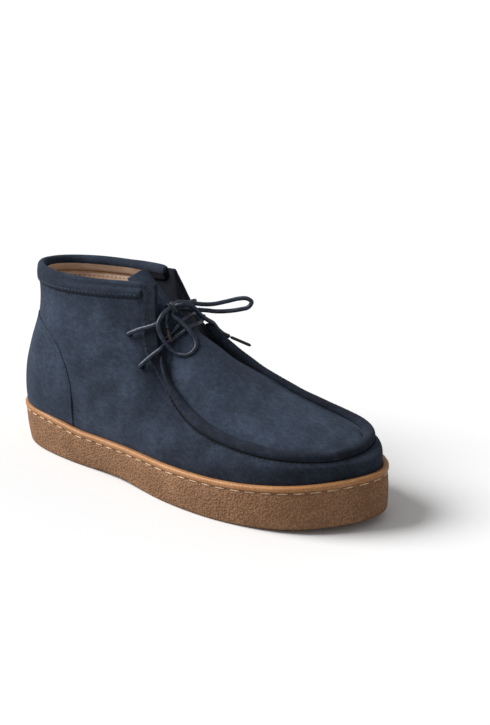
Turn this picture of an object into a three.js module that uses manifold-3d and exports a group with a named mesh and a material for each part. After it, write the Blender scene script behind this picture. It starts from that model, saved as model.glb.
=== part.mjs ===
// A right-foot suede chukka boot with an apron toe, a padded collar and a crepe cup sole.
// Millimetres, +Z up, toe towards +X, outer (lateral) side towards -Y.
// The origin is the middle of the sole's underside, on the floor.
import * as THREE from "three";
import { LoftGeometry } from "three/addons/geometries/LoftGeometry.js";
import { mergeVertices } from "three/addons/utils/BufferGeometryUtils.js";
import Module from "manifold-3d";

const wasm = await Module();
wasm.setup();

// ---------- driving dimensions ----------
const GAP = 0.3; // air between two pieces that touch
const WALL = 2.2; // suede and lining of the upper
const SHEET = 2.0; // suede of the apron and tongue

const RIM_HEIGHT = 26; // cup rim above the floor at the heel
const RIM_RISE = 4; // how much higher the rim is at the toe
const HEEL_RISE = 3.8; // extra rim height round the heel
const HEEL_RISE_START = -60; // where that extra height starts along X
const HEEL_RISE_END = -108; // and where it is whole
const CUP_WALL = 4; // rubber beside the upper
const BEAD_HEIGHT = 5.5; // smooth band under the rim
const BEAD_PROUD = 0.7; // the band stands out from the sidewall
const SOLE_TUCK = 2.8; // the bottom edge lies this far inside the rim
const ARCH_TUCK = 1.4; // extra tuck at the arch
const ARCH_LIFT = 1.3; // the underside clears the floor at the arch
const ARCH_MIDDLE = -36;
const ARCH_HALF = 44; // the sole is flat past this distance from the arch's middle
const FLOOR_TOE = 10; // rubber under the forefoot
const FLOOR_HEEL = 14; // rubber under the heel
const SPRING = 6.5; // the toe tip's lift off the floor
const SPRING_START = 50; // where the lift starts along X
const SPRING_RUN = 100;

const LASTING = 10; // the upper's edge turned in under the foot
const INSOLE_THICK = 3.5;

const COLLAR_DROP = 9.5; // the collar's seam under its outer edge
const COLLAR_ROLL = 4.6; // radius of the padded roll
const COLLAR_FRONT = { outer: 11.3, inner: 20.5 }; // stations where the collar starts and ends
const RIDGE_HEIGHT = 3.6; // the apron seam's roll over the seam
const RIDGE_HALF = 3; // half its width
const COUNTER_PROUD = 1.5; // the heel counter over the upper
const LACE = 3; // lace diameter

// ---------- the sections of the last ----------
// One row for each section round the boot, from the toe along the outer side to the heel and back
// along the inner side: a point of the sole's rim on the plan, and the crest of the upper's top edge.
const COLUMNS = ["rimX", "rimY", "topX", "topY", "topZ"];
const SECTIONS = [
  [150.5, 9, 133, 8, 50], // 0, toe
  [147.5, -4, 131, -6, 49.7],
  [138, -19, 125.5, -19, 49.7],
  [120, -38, 113, -30.5, 50],
  [95, -50, 95, -37, 50], // 4, ball
  [65, -56.4, 70, -39, 50.5],
  [35, -56.4, 42, -37, 53.5],
  [15, -54.5, 20, -33, 61],
  [0, -51.5, 4, -29, 72], // 8, instep
  [-11, -50, -6, -26, 85],
  [-20, -48.5, -11.5, -20.5, 105],
  [-29, -47.5, -17, -14.5, 134], // 11, outer front corner of the collar
  [-52, -45.5, -50, -26, 132.5],
  [-82, -43.5, -85, -32, 131],
  [-115, -40, -115, -27, 130.5],
  [-141, -27.5, -132, -14.5, 130.5],
  [-152.5, 0, -137.5, 0, 130], // 16, heel
  [-141, 27.5, -132, 14.5, 129.5],
  [-115, 39, -115, 26.5, 129.3],
  [-82, 42, -85, 31.5, 130.3],
  [-52, 42, -52, 27, 132.8],
  [-34, 42, -27, 17, 136.5], // 21, inner front corner of the collar
  [-23, 42.5, -20, 20.5, 120],
  [-10, 43.5, -11, 21.5, 106],
  [4, 45, 3, 22.5, 95.5], // 24, instep
  [20, 47.5, 18, 24, 86.5],
  [40, 50, 38, 26.5, 76],
  [65, 54.2, 62, 29.5, 67],
  [95, 54.6, 88, 32.5, 60.5], // 28, ball
  [119, 47, 110, 34, 56.5],
  [135.5, 34.5, 124.5, 30, 54],
  [146, 22, 131.5, 20, 51.5],
];
const STATIONS = SECTIONS.length;
const HEEL = STATIONS / 2;
const CORNERS = [11, 21]; // rows where the top edge turns a corner

// The apron and tongue, one row for each cross section from the toe to the tip. Up to the throat its
// edges follow the upper's top edge at the station on each side: "on" is how far they stand past that
// edge and "under" how deep they lie inside it. Crest is the height of the middle, and round says
// how round (2 or more) or ridged (near 1) the section is.
const APRON = [
  { station: 0.5, crest: 46.9, round: 2.2 },
  { station: 1, crest: 47.9, round: 2.2 },
  { station: 1.5, crest: 48.8, round: 2.2 },
  { station: 2, crest: 50, round: 2.2 },
  { station: 2.5, crest: 52.2, round: 2.2 },
  { station: 3, crest: 54, round: 2.1 },
  { station: 3.5, crest: 56, round: 2.1 },
  { station: 4, crest: 58.5, round: 2 },
  { station: 4.5, crest: 61.5, round: 2 },
  { station: 5, crest: 66, round: 1.9 },
  { station: 5.5, crest: 72, round: 1.8, innerOn: 1, innerUnder: 0.6 },
  { station: 6, crest: 79, round: 1.7, innerOn: 1.4, innerUnder: 2 },
  { station: 6.5, crest: 85.5, round: 1.6, innerOn: 0.6, innerUnder: 3.4 },
  { station: 7, crest: 92, round: 1.55, innerOn: -2, innerUnder: 4.4 },
  { station: 7.5, crest: 98, round: 1.5, innerOn: -5, innerUnder: 4.8 },
  { station: 8, crest: 103.5, round: 1.45, innerOn: -7, innerUnder: 5, outerOn: 0.8, outerUnder: 0.6 },
  { station: 8.5, crest: 108, round: 1.4, innerOn: -8, innerUnder: 5.4, outerOn: 1.4, outerUnder: 2.4 },
  { station: 9, crest: 112, round: 1.4, innerOn: -9, innerUnder: 6, outerOn: -0.5, outerUnder: 4.2 },
];
const TONGUE = [
  { crestX: -14, crest: 116, half: 13.9, depth: 11, round: 1.35 },
  { crestX: -22, crest: 124, half: 12.5, depth: 9.5, round: 1.3 },
  { crestX: -30.5, crest: 131.4, half: 10.8, depth: 8, round: 1.3 },
  { crestX: -38.6, crest: 138.5, half: 9.2, depth: 7, round: 1.3 },
];
const TONGUE_SIDE = -2.5; // the tongue's middle lies this far to the outer side

// ---------- curves and surfaces ----------
const clamp01 = (value) => Math.min(1, Math.max(0, value));
const smooth = (from, to, value) => THREE.MathUtils.smoothstep(value, from, to);
const wrap = (station) => ((station % STATIONS) + STATIONS) % STATIONS;
const UP = new THREE.Vector3(0, 0, 1);

// A column of the table at any station, as a closed cubic B-spline that keeps the corner rows sharp.
function column(name, station, corners = []) {
  const key = COLUMNS.indexOf(name);
  const row = Math.floor(wrap(station));
  const f = wrap(station) - row;
  const value = (i) => SECTIONS[wrap(i)][key];
  const b = value(row);
  const c = value(row + 1);
  const a = corners.includes(row) ? 2 * b - c : value(row - 1);
  const d = corners.includes(wrap(row + 1)) ? 2 * c - b : value(row + 2);
  const g = 1 - f;
  const ahead = -3 * f * f * f + 3 * f * f + 3 * f + 1;
  const behind = 3 * f * f * f - 6 * f * f + 4;
  return (g * g * g * a + behind * b + ahead * c + f * f * f * d) / 6;
}

const lift = (x) => SPRING * clamp01((x - SPRING_START) / SPRING_RUN) ** 2;
const heelRise = (x) => HEEL_RISE * (1 - smooth(HEEL_RISE_END, HEEL_RISE_START, x));
const rimHeight = (x) => RIM_HEIGHT + RIM_RISE * ((x + 150) / 300) + heelRise(x) + lift(x);
const floorHeight = (x) => THREE.MathUtils.lerp(FLOOR_HEEL, FLOOR_TOE, smooth(-90, 20, x)) + lift(x);
const archness = (x) => Math.cos(clamp01(Math.abs(x - ARCH_MIDDLE) / ARCH_HALF) * (Math.PI / 2)) ** 2;

// The rim's outline on the plan, drawn in by an inset, with its outward direction.
function outline(station, inset) {
  const step = 1e-3;
  const at = (s) => new THREE.Vector3(column("rimX", s), column("rimY", s), 0);
  const along = at(station + step).sub(at(station - step));
  const out = new THREE.Vector3(along.y, -along.x, 0).normalize().negate();
  return { point: at(station).addScaledVector(out, -inset), out };
}

const ridgeHeight = (station) => {
  const fromToe = Math.min(wrap(station), STATIONS - wrap(station));
  const outerSide = wrap(station) < HEEL;
  return RIDGE_HEIGHT * (1 - (outerSide ? smooth(8.2, 10.2, fromToe) : smooth(7.6, 9.8, fromToe)));
};

// The upper's section at a station: a cubic from the feather line up to the seam with the apron,
// the throat or the collar. It rises steeply, swells and leans in over the foot.
function sectionCurve(station) {
  const { point: foot, out } = outline(station, CUP_WALL + GAP);
  foot.z = rimHeight(foot.x);
  const crest = new THREE.Vector3(
    ...["topX", "topY", "topZ"].map((name) => column(name, station, CORNERS)),
  );
  const height = crest.z - foot.z;
  const back = clamp01((-30 - foot.x) / 110); // 0 in front of the ankle, 1 at the heel
  const rise = height * (0.38 + 0.3 * Math.exp(-(height - 14) / 20));
  const fuller = wrap(station) > HEEL ? 0.9 : 1;
  const drop = 0.42 * height * (1 - Math.exp(-Math.max(height - 13, 0.5) / 22)) * fuller;
  const overhang = 9 - 17 * back;
  const proud = new THREE.Vector3().copy(out).multiplyScalar(drop).addScaledVector(UP, overhang);
  const seamNormal = back > 0 ? out : proud.normalize();
  const seam = crest.clone().addScaledVector(seamNormal, -ridgeHeight(station));
  return new THREE.CubicBezierCurve3(
    foot,
    foot.clone().addScaledVector(UP, rise).addScaledVector(out, 1 + 4 * back),
    seam.clone().addScaledVector(out, overhang).addScaledVector(UP, -drop),
    seam,
  );
}

// A point of the upper's outer face, moved out along the face by an offset.
function wallPoint(station, v, offset = 0) {
  const step = 1e-3;
  const level = Math.min(Math.max(v, step), 1 - step);
  const [before, after] = [station - step, station + step].map((s) => sectionCurve(s).getPoint(level));
  const along = before.sub(after);
  const curve = sectionCurve(station);
  const up = curve.getPoint(level + step).sub(curve.getPoint(level - step));
  const normal = along.cross(up).normalize();
  return { point: curve.getPoint(v).addScaledVector(normal, offset), normal, up: up.normalize() };
}

// ---------- solids ----------
const orderedRange = (from, to, step) =>
  Array.from({ length: Math.round((to - from) / step) + 1 }, (_, i) => from + i * step);

// Stations that every piece shares, so that neighbouring faces stay parallel.
const RING = orderedRange(0, STATIONS - 0.5, 0.5).flatMap((station) => {
  if (station === 11.5) return [COLLAR_FRONT.outer - 0.07, COLLAR_FRONT.outer - 0.01, 11.6];
  if (station === 20.5) return [COLLAR_FRONT.inner + 0.01, COLLAR_FRONT.inner + 0.06];
  return [station];
});

// A solid from rings that each go once round the boot. Its first and last rings are closed by strips
// that cross from the outer side to the inner side.
function ringSolid(rings) {
  const count = rings[0].length;
  const last = (rings.length - 1) * count;
  const indices = [];
  for (let a = 0; a < last; a++) {
    const b = (a + 1) % count === 0 ? a + 1 - count : a + 1;
    indices.push(a, a + count, b, b, a + count, b + count);
  }
  for (let j = 0; j < count / 2; j++) {
    const [a, b] = [j, j + 1];
    const [c, d] = [(count - j) % count, count - j - 1];
    if (a !== c) indices.push(a, d, c, last + a, last + c, last + d);
    if (b !== d) indices.push(a, b, d, last + a, last + d, last + b);
  }
  const geometry = new THREE.BufferGeometry();
  const positions = rings.flat().flatMap((point) => point.toArray());
  geometry.setAttribute("position", new THREE.Float32BufferAttribute(positions, 3));
  geometry.setIndex(indices);
  return geometry;
}

const EVEN_RING = orderedRange(0, STATIONS - 0.5, 0.5);
const ring = (inset, height) =>
  EVEN_RING.map((station) => {
    const { point } = outline(station, typeof inset === "number" ? inset : inset(column("rimX", station)));
    return point.setZ(height(point.x));
  });

function toManifold(geometry) {
  const bare = new THREE.BufferGeometry();
  bare.setAttribute("position", geometry.getAttribute("position"));
  if (geometry.index) bare.setIndex(geometry.index);
  const merged = mergeVertices(bare, 1e-4);
  return new wasm.Manifold(
    new wasm.Mesh({
      numProp: 3,
      vertProperties: merged.attributes.position.array,
      triVerts: new Uint32Array(merged.index.array),
    }),
  );
}

function toGeometry(manifold) {
  const { vertProperties, triVerts } = manifold.getMesh();
  const geometry = new THREE.BufferGeometry();
  geometry.setAttribute("position", new THREE.BufferAttribute(vertProperties, 3));
  geometry.setIndex(new THREE.BufferAttribute(triVerts, 1));
  return geometry;
}

// ---------- sole and insole ----------
function cupsole() {
  const tuck = (x) => SOLE_TUCK * (1 - smooth(70, 140, x)) + ARCH_TUCK * archness(x);
  const under = (x) => lift(x) + ARCH_LIFT * archness(x);
  return ringSolid([
    ring((x) => tuck(x) + 9, under),
    ring((x) => tuck(x) + 2, under),
    ring(tuck, (x) => under(x) + 2),
    ring((x) => (tuck(x) + BEAD_PROUD) / 2, (x) => (under(x) + rimHeight(x)) / 2),
    ring(BEAD_PROUD, (x) => rimHeight(x) - BEAD_HEIGHT - 0.7),
    ring(0, (x) => rimHeight(x) - BEAD_HEIGHT),
    ring(0, (x) => rimHeight(x) - 1.2),
    ring(1.2, rimHeight),
    ring(CUP_WALL, rimHeight),
    ring(CUP_WALL, floorHeight),
    ring(CUP_WALL + 9, floorHeight),
  ]);
}

function insole() {
  const inset = CUP_WALL + GAP + WALL + GAP;
  const base = (x) => floorHeight(x) + GAP + WALL + GAP;
  const top = (x) => base(x) + INSOLE_THICK;
  return ringSolid([ring(inset + 8, base), ring(inset, base), ring(inset, top), ring(inset + 8, top)]);
}

// ---------- upper ----------
const collarLevel = (station) => {
  const curve = sectionCurve(station);
  return 1 - COLLAR_DROP / (3 * curve.v2.distanceTo(curve.v3));
};
const underCollar = (station) => station > COLLAR_FRONT.outer - 0.02 && station < COLLAR_FRONT.inner + 0.02;
const topLevel = (station) => (underCollar(station) ? collarLevel(station) : 1);
const LEVELS = [0, 0.12, 0.26, 0.4, 0.55, 0.7, 0.82, 0.92, 1];
const ridgeLevel = (station) => {
  const curve = sectionCurve(station);
  return 1 - RIDGE_HALF / (3 * curve.v2.distanceTo(curve.v3));
};

function upperSection(station) {
  const base = outline(station, CUP_WALL + GAP).point;
  const turned = outline(station, CUP_WALL + GAP + LASTING).point;
  const within = outline(station, CUP_WALL + GAP + WALL).point;
  const low = (point) => point.setZ(floorHeight(point.x) + GAP);
  const top = topLevel(station);
  const levels = LEVELS.map((level) => level * top);
  const face = levels.map((level) => wallPoint(station, level).point);
  const lining = levels.map((level) => wallPoint(station, level, -WALL).point).reverse();
  lining[lining.length - 1].copy(within).setZ(rimHeight(base.x));
  return [
    ...face,
    ...lining,
    low(within).add(new THREE.Vector3(0, 0, WALL)),
    low(turned.clone()).add(new THREE.Vector3(0, 0, WALL)),
    low(turned),
    low(base),
  ];
}

function upper() {
  const sections = [...RING, RING[0]].map(upperSection);
  return new LoftGeometry(sections);
}

// ---------- apron and tongue ----------
// An edge is its point and the direction of the upper's outer face there, which the cut edge follows.
function apronEdges(row) {
  const { station, outerOn = GAP, outerUnder = 0, innerOn = GAP, innerUnder = 0 } = row;
  const edge = (at, on, under) => {
    const { point, normal, up } = wallPoint(at, 1);
    return { point: point.addScaledVector(up, on).addScaledVector(normal, -under), normal };
  };
  return [edge(station, outerOn, outerUnder), edge(STATIONS - station, innerOn, innerUnder)];
}

function tongueEdges({ crestX, crest, half, depth }) {
  const back = depth * Math.SQRT1_2;
  const normal = new THREE.Vector3(1, 0, 1).normalize();
  return [-half, half].map((y) => ({
    point: new THREE.Vector3(crestX - back, y + TONGUE_SIDE, crest - back),
    normal,
  }));
}

// A cross section of the apron as a function from the outer edge, 0, to the inner edge, 1.
function apronCurve(row, edges) {
  const middle = edges[0].point.clone().lerp(edges[1].point, 0.5);
  const crestX = row.crestX ?? middle.x;
  const crown = new THREE.Vector3(crestX - middle.x, 0, row.crest - middle.z);
  const at = (t) =>
    edges[0].point
      .clone()
      .lerp(edges[1].point, t)
      .addScaledVector(crown, 1 - Math.abs(2 * t - 1) ** row.round);
  return { at, edges };
}

const APRON_CURVES = [
  ...APRON.map((row) => apronCurve(row, apronEdges(row))),
  ...TONGUE.map((row) => apronCurve(row, tongueEdges(row))),
];
const ACROSS = [0, 0.08, 0.2, 0.32, 0.42, 0.5, 0.58, 0.68, 0.8, 0.92, 1];

function apronTongue() {
  const grid = APRON_CURVES.map(({ at }) => ACROSS.map(at));
  const sections = grid.map((points, i) => {
    const before = grid[Math.max(i - 1, 0)];
    const after = grid[Math.min(i + 1, grid.length - 1)];
    const below = points.map((point, j) => {
      const side = { [0]: 0, [points.length - 1]: 1 }[j];
      if (side !== undefined) {
        return point.clone().addScaledVector(APRON_CURVES[i].edges[side].normal, -SHEET);
      }
      const along = after[j].clone().sub(before[j]);
      const across = points[Math.min(j + 1, points.length - 1)].clone().sub(points[Math.max(j - 1, 0)]);
      return point.clone().addScaledVector(across.cross(along).normalize(), -SHEET);
    });
    return [...points, ...below.reverse()];
  });
  return new LoftGeometry(sections, { capStart: true, capEnd: true });
}

// The rolled seam that stands on the joint of upper and apron.
function ridgeSection(station) {
  const { point: seam, normal, up } = wallPoint(station, 1);
  const outer = wallPoint(station, ridgeLevel(station), GAP + 0.1).point;
  const height = Math.max(ridgeHeight(station), 1.2);
  const fromToe = Math.min(wrap(station), STATIONS - wrap(station));
  const index = Math.max(0, Math.round(fromToe / 0.5) - 1);
  const outerSide = wrap(station) < HEEL;
  const { at } = APRON_CURVES[Math.min(index, APRON.length - 1)];
  const reach = Math.min(RIDGE_HALF / at(0).distanceTo(at(1)), 0.3);
  const over = at(outerSide ? reach : 1 - reach).addScaledVector(normal, GAP + 0.15);
  const lowest = fromToe < 1.5 ? 1.6 : GAP;
  const flat = seam.clone().addScaledVector(up, RIDGE_HALF).addScaledVector(normal, lowest);
  const onApron = fromToe >= 1.5 && (outerSide || fromToe < 5.5);
  const inner = onApron && over.clone().sub(flat).dot(normal) > 0 ? over : flat;
  const rise = (side, share) =>
    seam.clone().addScaledVector(up, side).addScaledVector(normal, GAP + height * share);
  return [
    outer,
    rise(-RIDGE_HALF * 1.05, 0.45),
    rise(-RIDGE_HALF * 0.6, 0.9),
    rise(0, 1),
    rise(RIDGE_HALF * 0.6, 0.9),
    rise(RIDGE_HALF * 1.05, 0.5),
    inner,
    seam.clone().addScaledVector(normal, GAP + 0.15),
  ];
}

function apronRidge() {
  const sections = orderedRange(-8.5, 9, 0.5).map(ridgeSection);
  return new LoftGeometry(sections, { capStart: true, capEnd: true });
}

// ---------- collar ----------
function collarSection(station) {
  const level = collarLevel(station);
  const foot = wallPoint(station, level, 0);
  const curve = sectionCurve(station);
  const { out } = outline(station, 0);
  const edge = (along, offset) =>
    foot.point.clone().addScaledVector(foot.up, along).addScaledVector(foot.normal, offset);
  const roll = [0, 40, 80, 120, 160, 205].map((degrees) => {
    const angle = THREE.MathUtils.degToRad(degrees);
    return curve.v3
      .clone()
      .addScaledVector(out, COLLAR_ROLL * (Math.cos(angle) - 0.95))
      .addScaledVector(UP, COLLAR_ROLL * Math.sin(angle) - 0.5);
  });
  const band = [edge(GAP, 0), edge(COLLAR_DROP * 0.5, 0.6)];
  return [...band, ...roll, edge(COLLAR_DROP * 0.3, -WALL - 0.8), edge(GAP, -WALL)];
}

function collar() {
  const stations = [COLLAR_FRONT.outer, 11.6, ...orderedRange(12, 20, 0.5), COLLAR_FRONT.inner];
  return new LoftGeometry(stations.map(collarSection), { capStart: true, capEnd: true });
}

// ---------- heel counter ----------
// A closed form over the heel from the upper's own face, grown by an offset. It reaches into the
// boot by a depth and below the rim by a skirt.
function heelForm(offset, depth, skirt) {
  const levels = LEVELS.filter((level) => level < 1);
  const sections = orderedRange(12, 20, 0.5).map((station) => {
    const at = (level, out, down = 0) => {
      const { point } = wallPoint(station, level * collarLevel(station), out);
      return point.setZ(point.z + (level === 0 ? GAP - down : 0));
    };
    const face = levels.map((level) => at(level, offset));
    return [at(0, offset, skirt), ...face, at(levels.at(-1), -depth), at(0, -depth, skirt)];
  });
  return toManifold(new LoftGeometry(sections, { capStart: true, capEnd: true }));
}

function heelCounter() {
  const side = new THREE.Shape();
  side.moveTo(-74.5, 0);
  side.lineTo(-74.5, 46);
  side.bezierCurveTo(-75, 66, -88, 90, -118, 95);
  side.lineTo(-170, 99);
  side.lineTo(-170, 0);
  const cutter = new THREE.ExtrudeGeometry(side, { depth: 140, bevelEnabled: false, curveSegments: 10 });
  cutter.rotateX(Math.PI / 2).translate(0, 70, 0);
  const outer = heelForm(COUNTER_PROUD + GAP, 8, 0);
  const inner = heelForm(GAP, 12, 4);
  return toGeometry(outer.subtract(inner).intersect(toManifold(cutter)));
}

// ---------- lace ----------
// Each strand's route along the middle of the cord. The bar lies across the throat over both facings,
// the cross comes from under the outer facing, and a strand runs from each top hole to the knot.
const BAR_ROUTE = [
  [-16.4, -33, 81.5],
  [-11, -29.1, 88],
  [-5.8, -24.4, 93.4],
  [-5.4, -18.4, 96],
  [-1.1, -11.3, 100.8],
  [3.5, -5.6, 105.5],
  [3.4, 1.4, 106.3],
  [0.2, 8, 104.5],
  [-3.6, 15, 103.2],
  [-6.8, 22.2, 105.2],
  [-11.6, 26.6, 101.4],
  [-17.8, 30.7, 94.4],
  [-22, 32.1, 87.6],
];
const CROSS_ROUTE = [
  [-8.8, -16.2, 97.6],
  [-6.2, -11.6, 101.8],
  [-2.4, -5.9, 108.3],
  [-3.4, 0.8, 110.9],
  [-6.3, 7.2, 110],
  [-10, 16.6, 107.8],
];
const OUTER_ROUTE = [
  [-30.3, -29.2, 100.4],
  [-22.2, -26.8, 104.7],
  [-15.2, -24.2, 107.4],
  [-10.6, -21.8, 109.6],
  [-11.2, -15.4, 112.6],
];
const INNER_ROUTE = [
  [-32.4, 28.4, 105],
  [-24, 27.3, 110.5],
  [-17.8, 24.7, 113.6],
  [-13.6, 20.8, 115.4],
  [-11.8, 12, 116.6],
  [-11.6, 3.2, 117.4],
];
const NEAR_LOOP_ROUTE = [
  [-6.4, -10.6, 113.6],
  [-0.2, -9.4, 110],
  [6.5, -8.8, 105],
  [11.3, -8.9, 99.8],
  [13.8, -10.6, 96],
  [12.8, -14.2, 92.2],
  [8.8, -16.8, 90.6],
  [2.6, -18.4, 91.4],
  [-1.4, -21, 95.5],
  [-3, -23.8, 100.3],
  [-6.2, -24, 105.2],
  [-7.4, -24, 110],
  [-8, -19.6, 114.8],
  [-8.8, -12.8, 117.4],
];
const NEAR_END_ROUTE = [
  [-10, -12, 112.8],
  [-9, -14.4, 109],
  [-6.2, -15.8, 105.2],
];
const FAR_LOOP_ROUTE = [
  [-10.6, 0.4, 119.6],
  [-8, 4, 119],
  [-5.4, 9, 117.8],
  [-1.8, 15.4, 116.2],
  [2.2, 22, 115.6],
  [8.2, 29, 117],
  [14.6, 34, 118.9],
  [19.6, 36.6, 119.2],
  [22.4, 38, 117],
  [20.8, 36.4, 113.4],
  [17, 33, 112],
  [11, 28.6, 110.8],
  [4.4, 22.8, 110.6],
  [-1.6, 18, 111.4],
  [-5.4, 13.4, 112.2],
  [-8.6, 8, 113.2],
  [-9.4, 3, 114.6],
];
const FAR_END_ROUTE = [
  [-6.8, -3, 119.2],
  [-4.4, -0.6, 119.6],
  [-2.2, 2.6, 118.4],
  [-0.6, 5.6, 115.8],
  [0.3, 8.6, 112.2],
  [1, 12, 108.6],
  [1.6, 16.6, 105.4],
  [1.4, 22.4, 101.8],
  [1.4, 27.8, 96],
  [3, 31.6, 92.2],
  [6.2, 35, 89.8],
];
const AGLETS = { near: 9.5, far: 16 };
const AGLET_THICK = 2.2;
const KNOT = { middle: [-11, -5.6, 116.2], radii: [5.4, 4.4, 3.2] };
const KNOT_AXIS = new THREE.Vector3(0.62, -0.3, 0.72); // out of the tongue

function route(rows) {
  const points = rows.map((row) => new THREE.Vector3(...row));
  return new THREE.CatmullRomCurve3(points, false, "centripetal");
}

function cord(rows, steps, diameter = LACE) {
  const circle = new THREE.Shape().absarc(0, 0, diameter / 2, 0, 2 * Math.PI);
  const options = { extrudePath: route(rows), steps, curveSegments: 4, bevelEnabled: false };
  return new THREE.ExtrudeGeometry(circle, options);
}

function knot() {
  const [wide, long, thick] = KNOT.radii;
  const turn = new THREE.Quaternion().setFromUnitVectors(UP, KNOT_AXIS.clone().normalize());
  return new THREE.SphereGeometry(1, 12, 8)
    .rotateX(Math.PI / 2)
    .scale(long, wide, thick)
    .applyQuaternion(turn)
    .translate(...KNOT.middle);
}

// A tip that carries on straight from the end of a strand, a gap past it.
function aglet(rows, long) {
  const curve = route(rows);
  const end = curve.getPoint(1);
  const along = curve.getTangent(1);
  const at = (distance) => end.clone().addScaledVector(along, distance).toArray();
  return cord([at(GAP), at(GAP + long)], 1, AGLET_THICK);
}

// ---------- the boot ----------
const finish = (color, roughness) => new THREE.MeshStandardMaterial({ color, roughness, metalness: 0 });
const SUEDE = finish(0x3c4557, 0.95);
const CREPE = finish(0x75553b, 0.85);
const LINING = finish(0xa0856f, 0.8);
const LACE_CORD = finish(0x2a3242, 0.55);
const AGLET = finish(0x4a4038, 0.5);

const boot = new THREE.Group();
function add(name, geometry, material) {
  const mesh = new THREE.Mesh(geometry, material);
  mesh.name = name;
  boot.add(mesh);
}

add("cupsole", cupsole(), CREPE);
add("insole", insole(), LINING);
add("upper", upper(), SUEDE);
add("apron_tongue", apronTongue(), SUEDE);
add("apron_ridge", apronRidge(), SUEDE);
add("collar", collar(), SUEDE);
add("heel_counter", heelCounter(), SUEDE);
add("lace_bar", cord(BAR_ROUTE, 14), LACE_CORD);
add("lace_cross", cord(CROSS_ROUTE, 6), LACE_CORD);
add("lace_strand_outer", cord(OUTER_ROUTE, 5), LACE_CORD);
add("lace_strand_inner", cord(INNER_ROUTE, 6), LACE_CORD);
add("lace_knot", knot(), LACE_CORD);
add("lace_loop_near", cord(NEAR_LOOP_ROUTE, 16), LACE_CORD);
add("lace_end_near", cord(NEAR_END_ROUTE, 2), LACE_CORD);
add("lace_loop_far", cord(FAR_LOOP_ROUTE, 18), LACE_CORD);
add("lace_end_far", cord(FAR_END_ROUTE, 9), LACE_CORD);
add("aglet_near", aglet(NEAR_END_ROUTE, AGLETS.near), AGLET);
add("aglet_far", aglet(FAR_END_ROUTE, AGLETS.far), AGLET);

export default boot;
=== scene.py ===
"""A suede chukka boot for the right foot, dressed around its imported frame.

The last's surface functions work in millimetres, as the maker's own sizes do, and every mesh is
turned to metres as it is made. The toe points along +X, the outer side of the foot faces -Y.
"""

from __future__ import annotations

import logging
import math
from dataclasses import dataclass, field
from enum import Enum
from typing import Callable, Sequence

import bmesh
import bpy
import numpy as np
from mathutils import Matrix, Vector

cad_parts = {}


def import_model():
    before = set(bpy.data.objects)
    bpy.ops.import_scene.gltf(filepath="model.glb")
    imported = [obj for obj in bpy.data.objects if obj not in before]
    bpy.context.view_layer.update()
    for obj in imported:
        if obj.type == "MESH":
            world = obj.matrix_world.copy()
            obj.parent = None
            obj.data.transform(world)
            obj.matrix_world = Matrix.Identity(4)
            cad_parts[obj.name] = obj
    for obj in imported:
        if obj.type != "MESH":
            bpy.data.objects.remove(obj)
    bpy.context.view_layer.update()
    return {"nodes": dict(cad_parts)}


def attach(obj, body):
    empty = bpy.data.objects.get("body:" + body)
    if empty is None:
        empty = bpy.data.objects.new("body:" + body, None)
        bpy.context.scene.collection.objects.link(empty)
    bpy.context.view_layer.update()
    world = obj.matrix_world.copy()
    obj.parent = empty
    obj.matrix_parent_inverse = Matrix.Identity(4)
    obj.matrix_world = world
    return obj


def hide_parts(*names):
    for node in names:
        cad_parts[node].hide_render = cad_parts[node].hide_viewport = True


LOG = logging.getLogger("chukka_boot")
MM = 0.001
BODY = "root"
Array = np.ndarray
Place = Callable[[Array, Array], Array]

# ---------- driving sizes, in millimetres ----------
GAP = 0.3
WALL = 2.2
SHEET = 2.0
RIM_HEIGHT = 26.0
RIM_RISE = 4.0
HEEL_RISE = 3.8
HEEL_RISE_START = -60.0
HEEL_RISE_END = -108.0
CUP_WALL = 4.0
BEAD_HEIGHT = 3.6
BEAD_PROUD = 0.7
SOLE_TUCK = 2.8
ARCH_TUCK = 1.4
ARCH_LIFT = 1.3
ARCH_MIDDLE = -36.0
ARCH_HALF = 44.0
FLOOR_TOE = 10.0
FLOOR_HEEL = 14.0
SPRING = 6.5
SPRING_START = 50.0
SPRING_RUN = 100.0
LASTING = 10.0
COLLAR_DROP = 9.5
COLLAR_ROLL = 3.8
COLLAR_OUTER_FRONT = 11.3
COLLAR_INNER_FRONT = 20.5
RIDGE_HEIGHT = 3.6
RIDGE_HALF = 4.0
RIDGE_MIDDLE = 1.9
RIDGE_OVER = 2.0
RIDGE_SUNK = 2.5
COUNTER_PROUD = 1.5
LACE = 3.0

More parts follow.
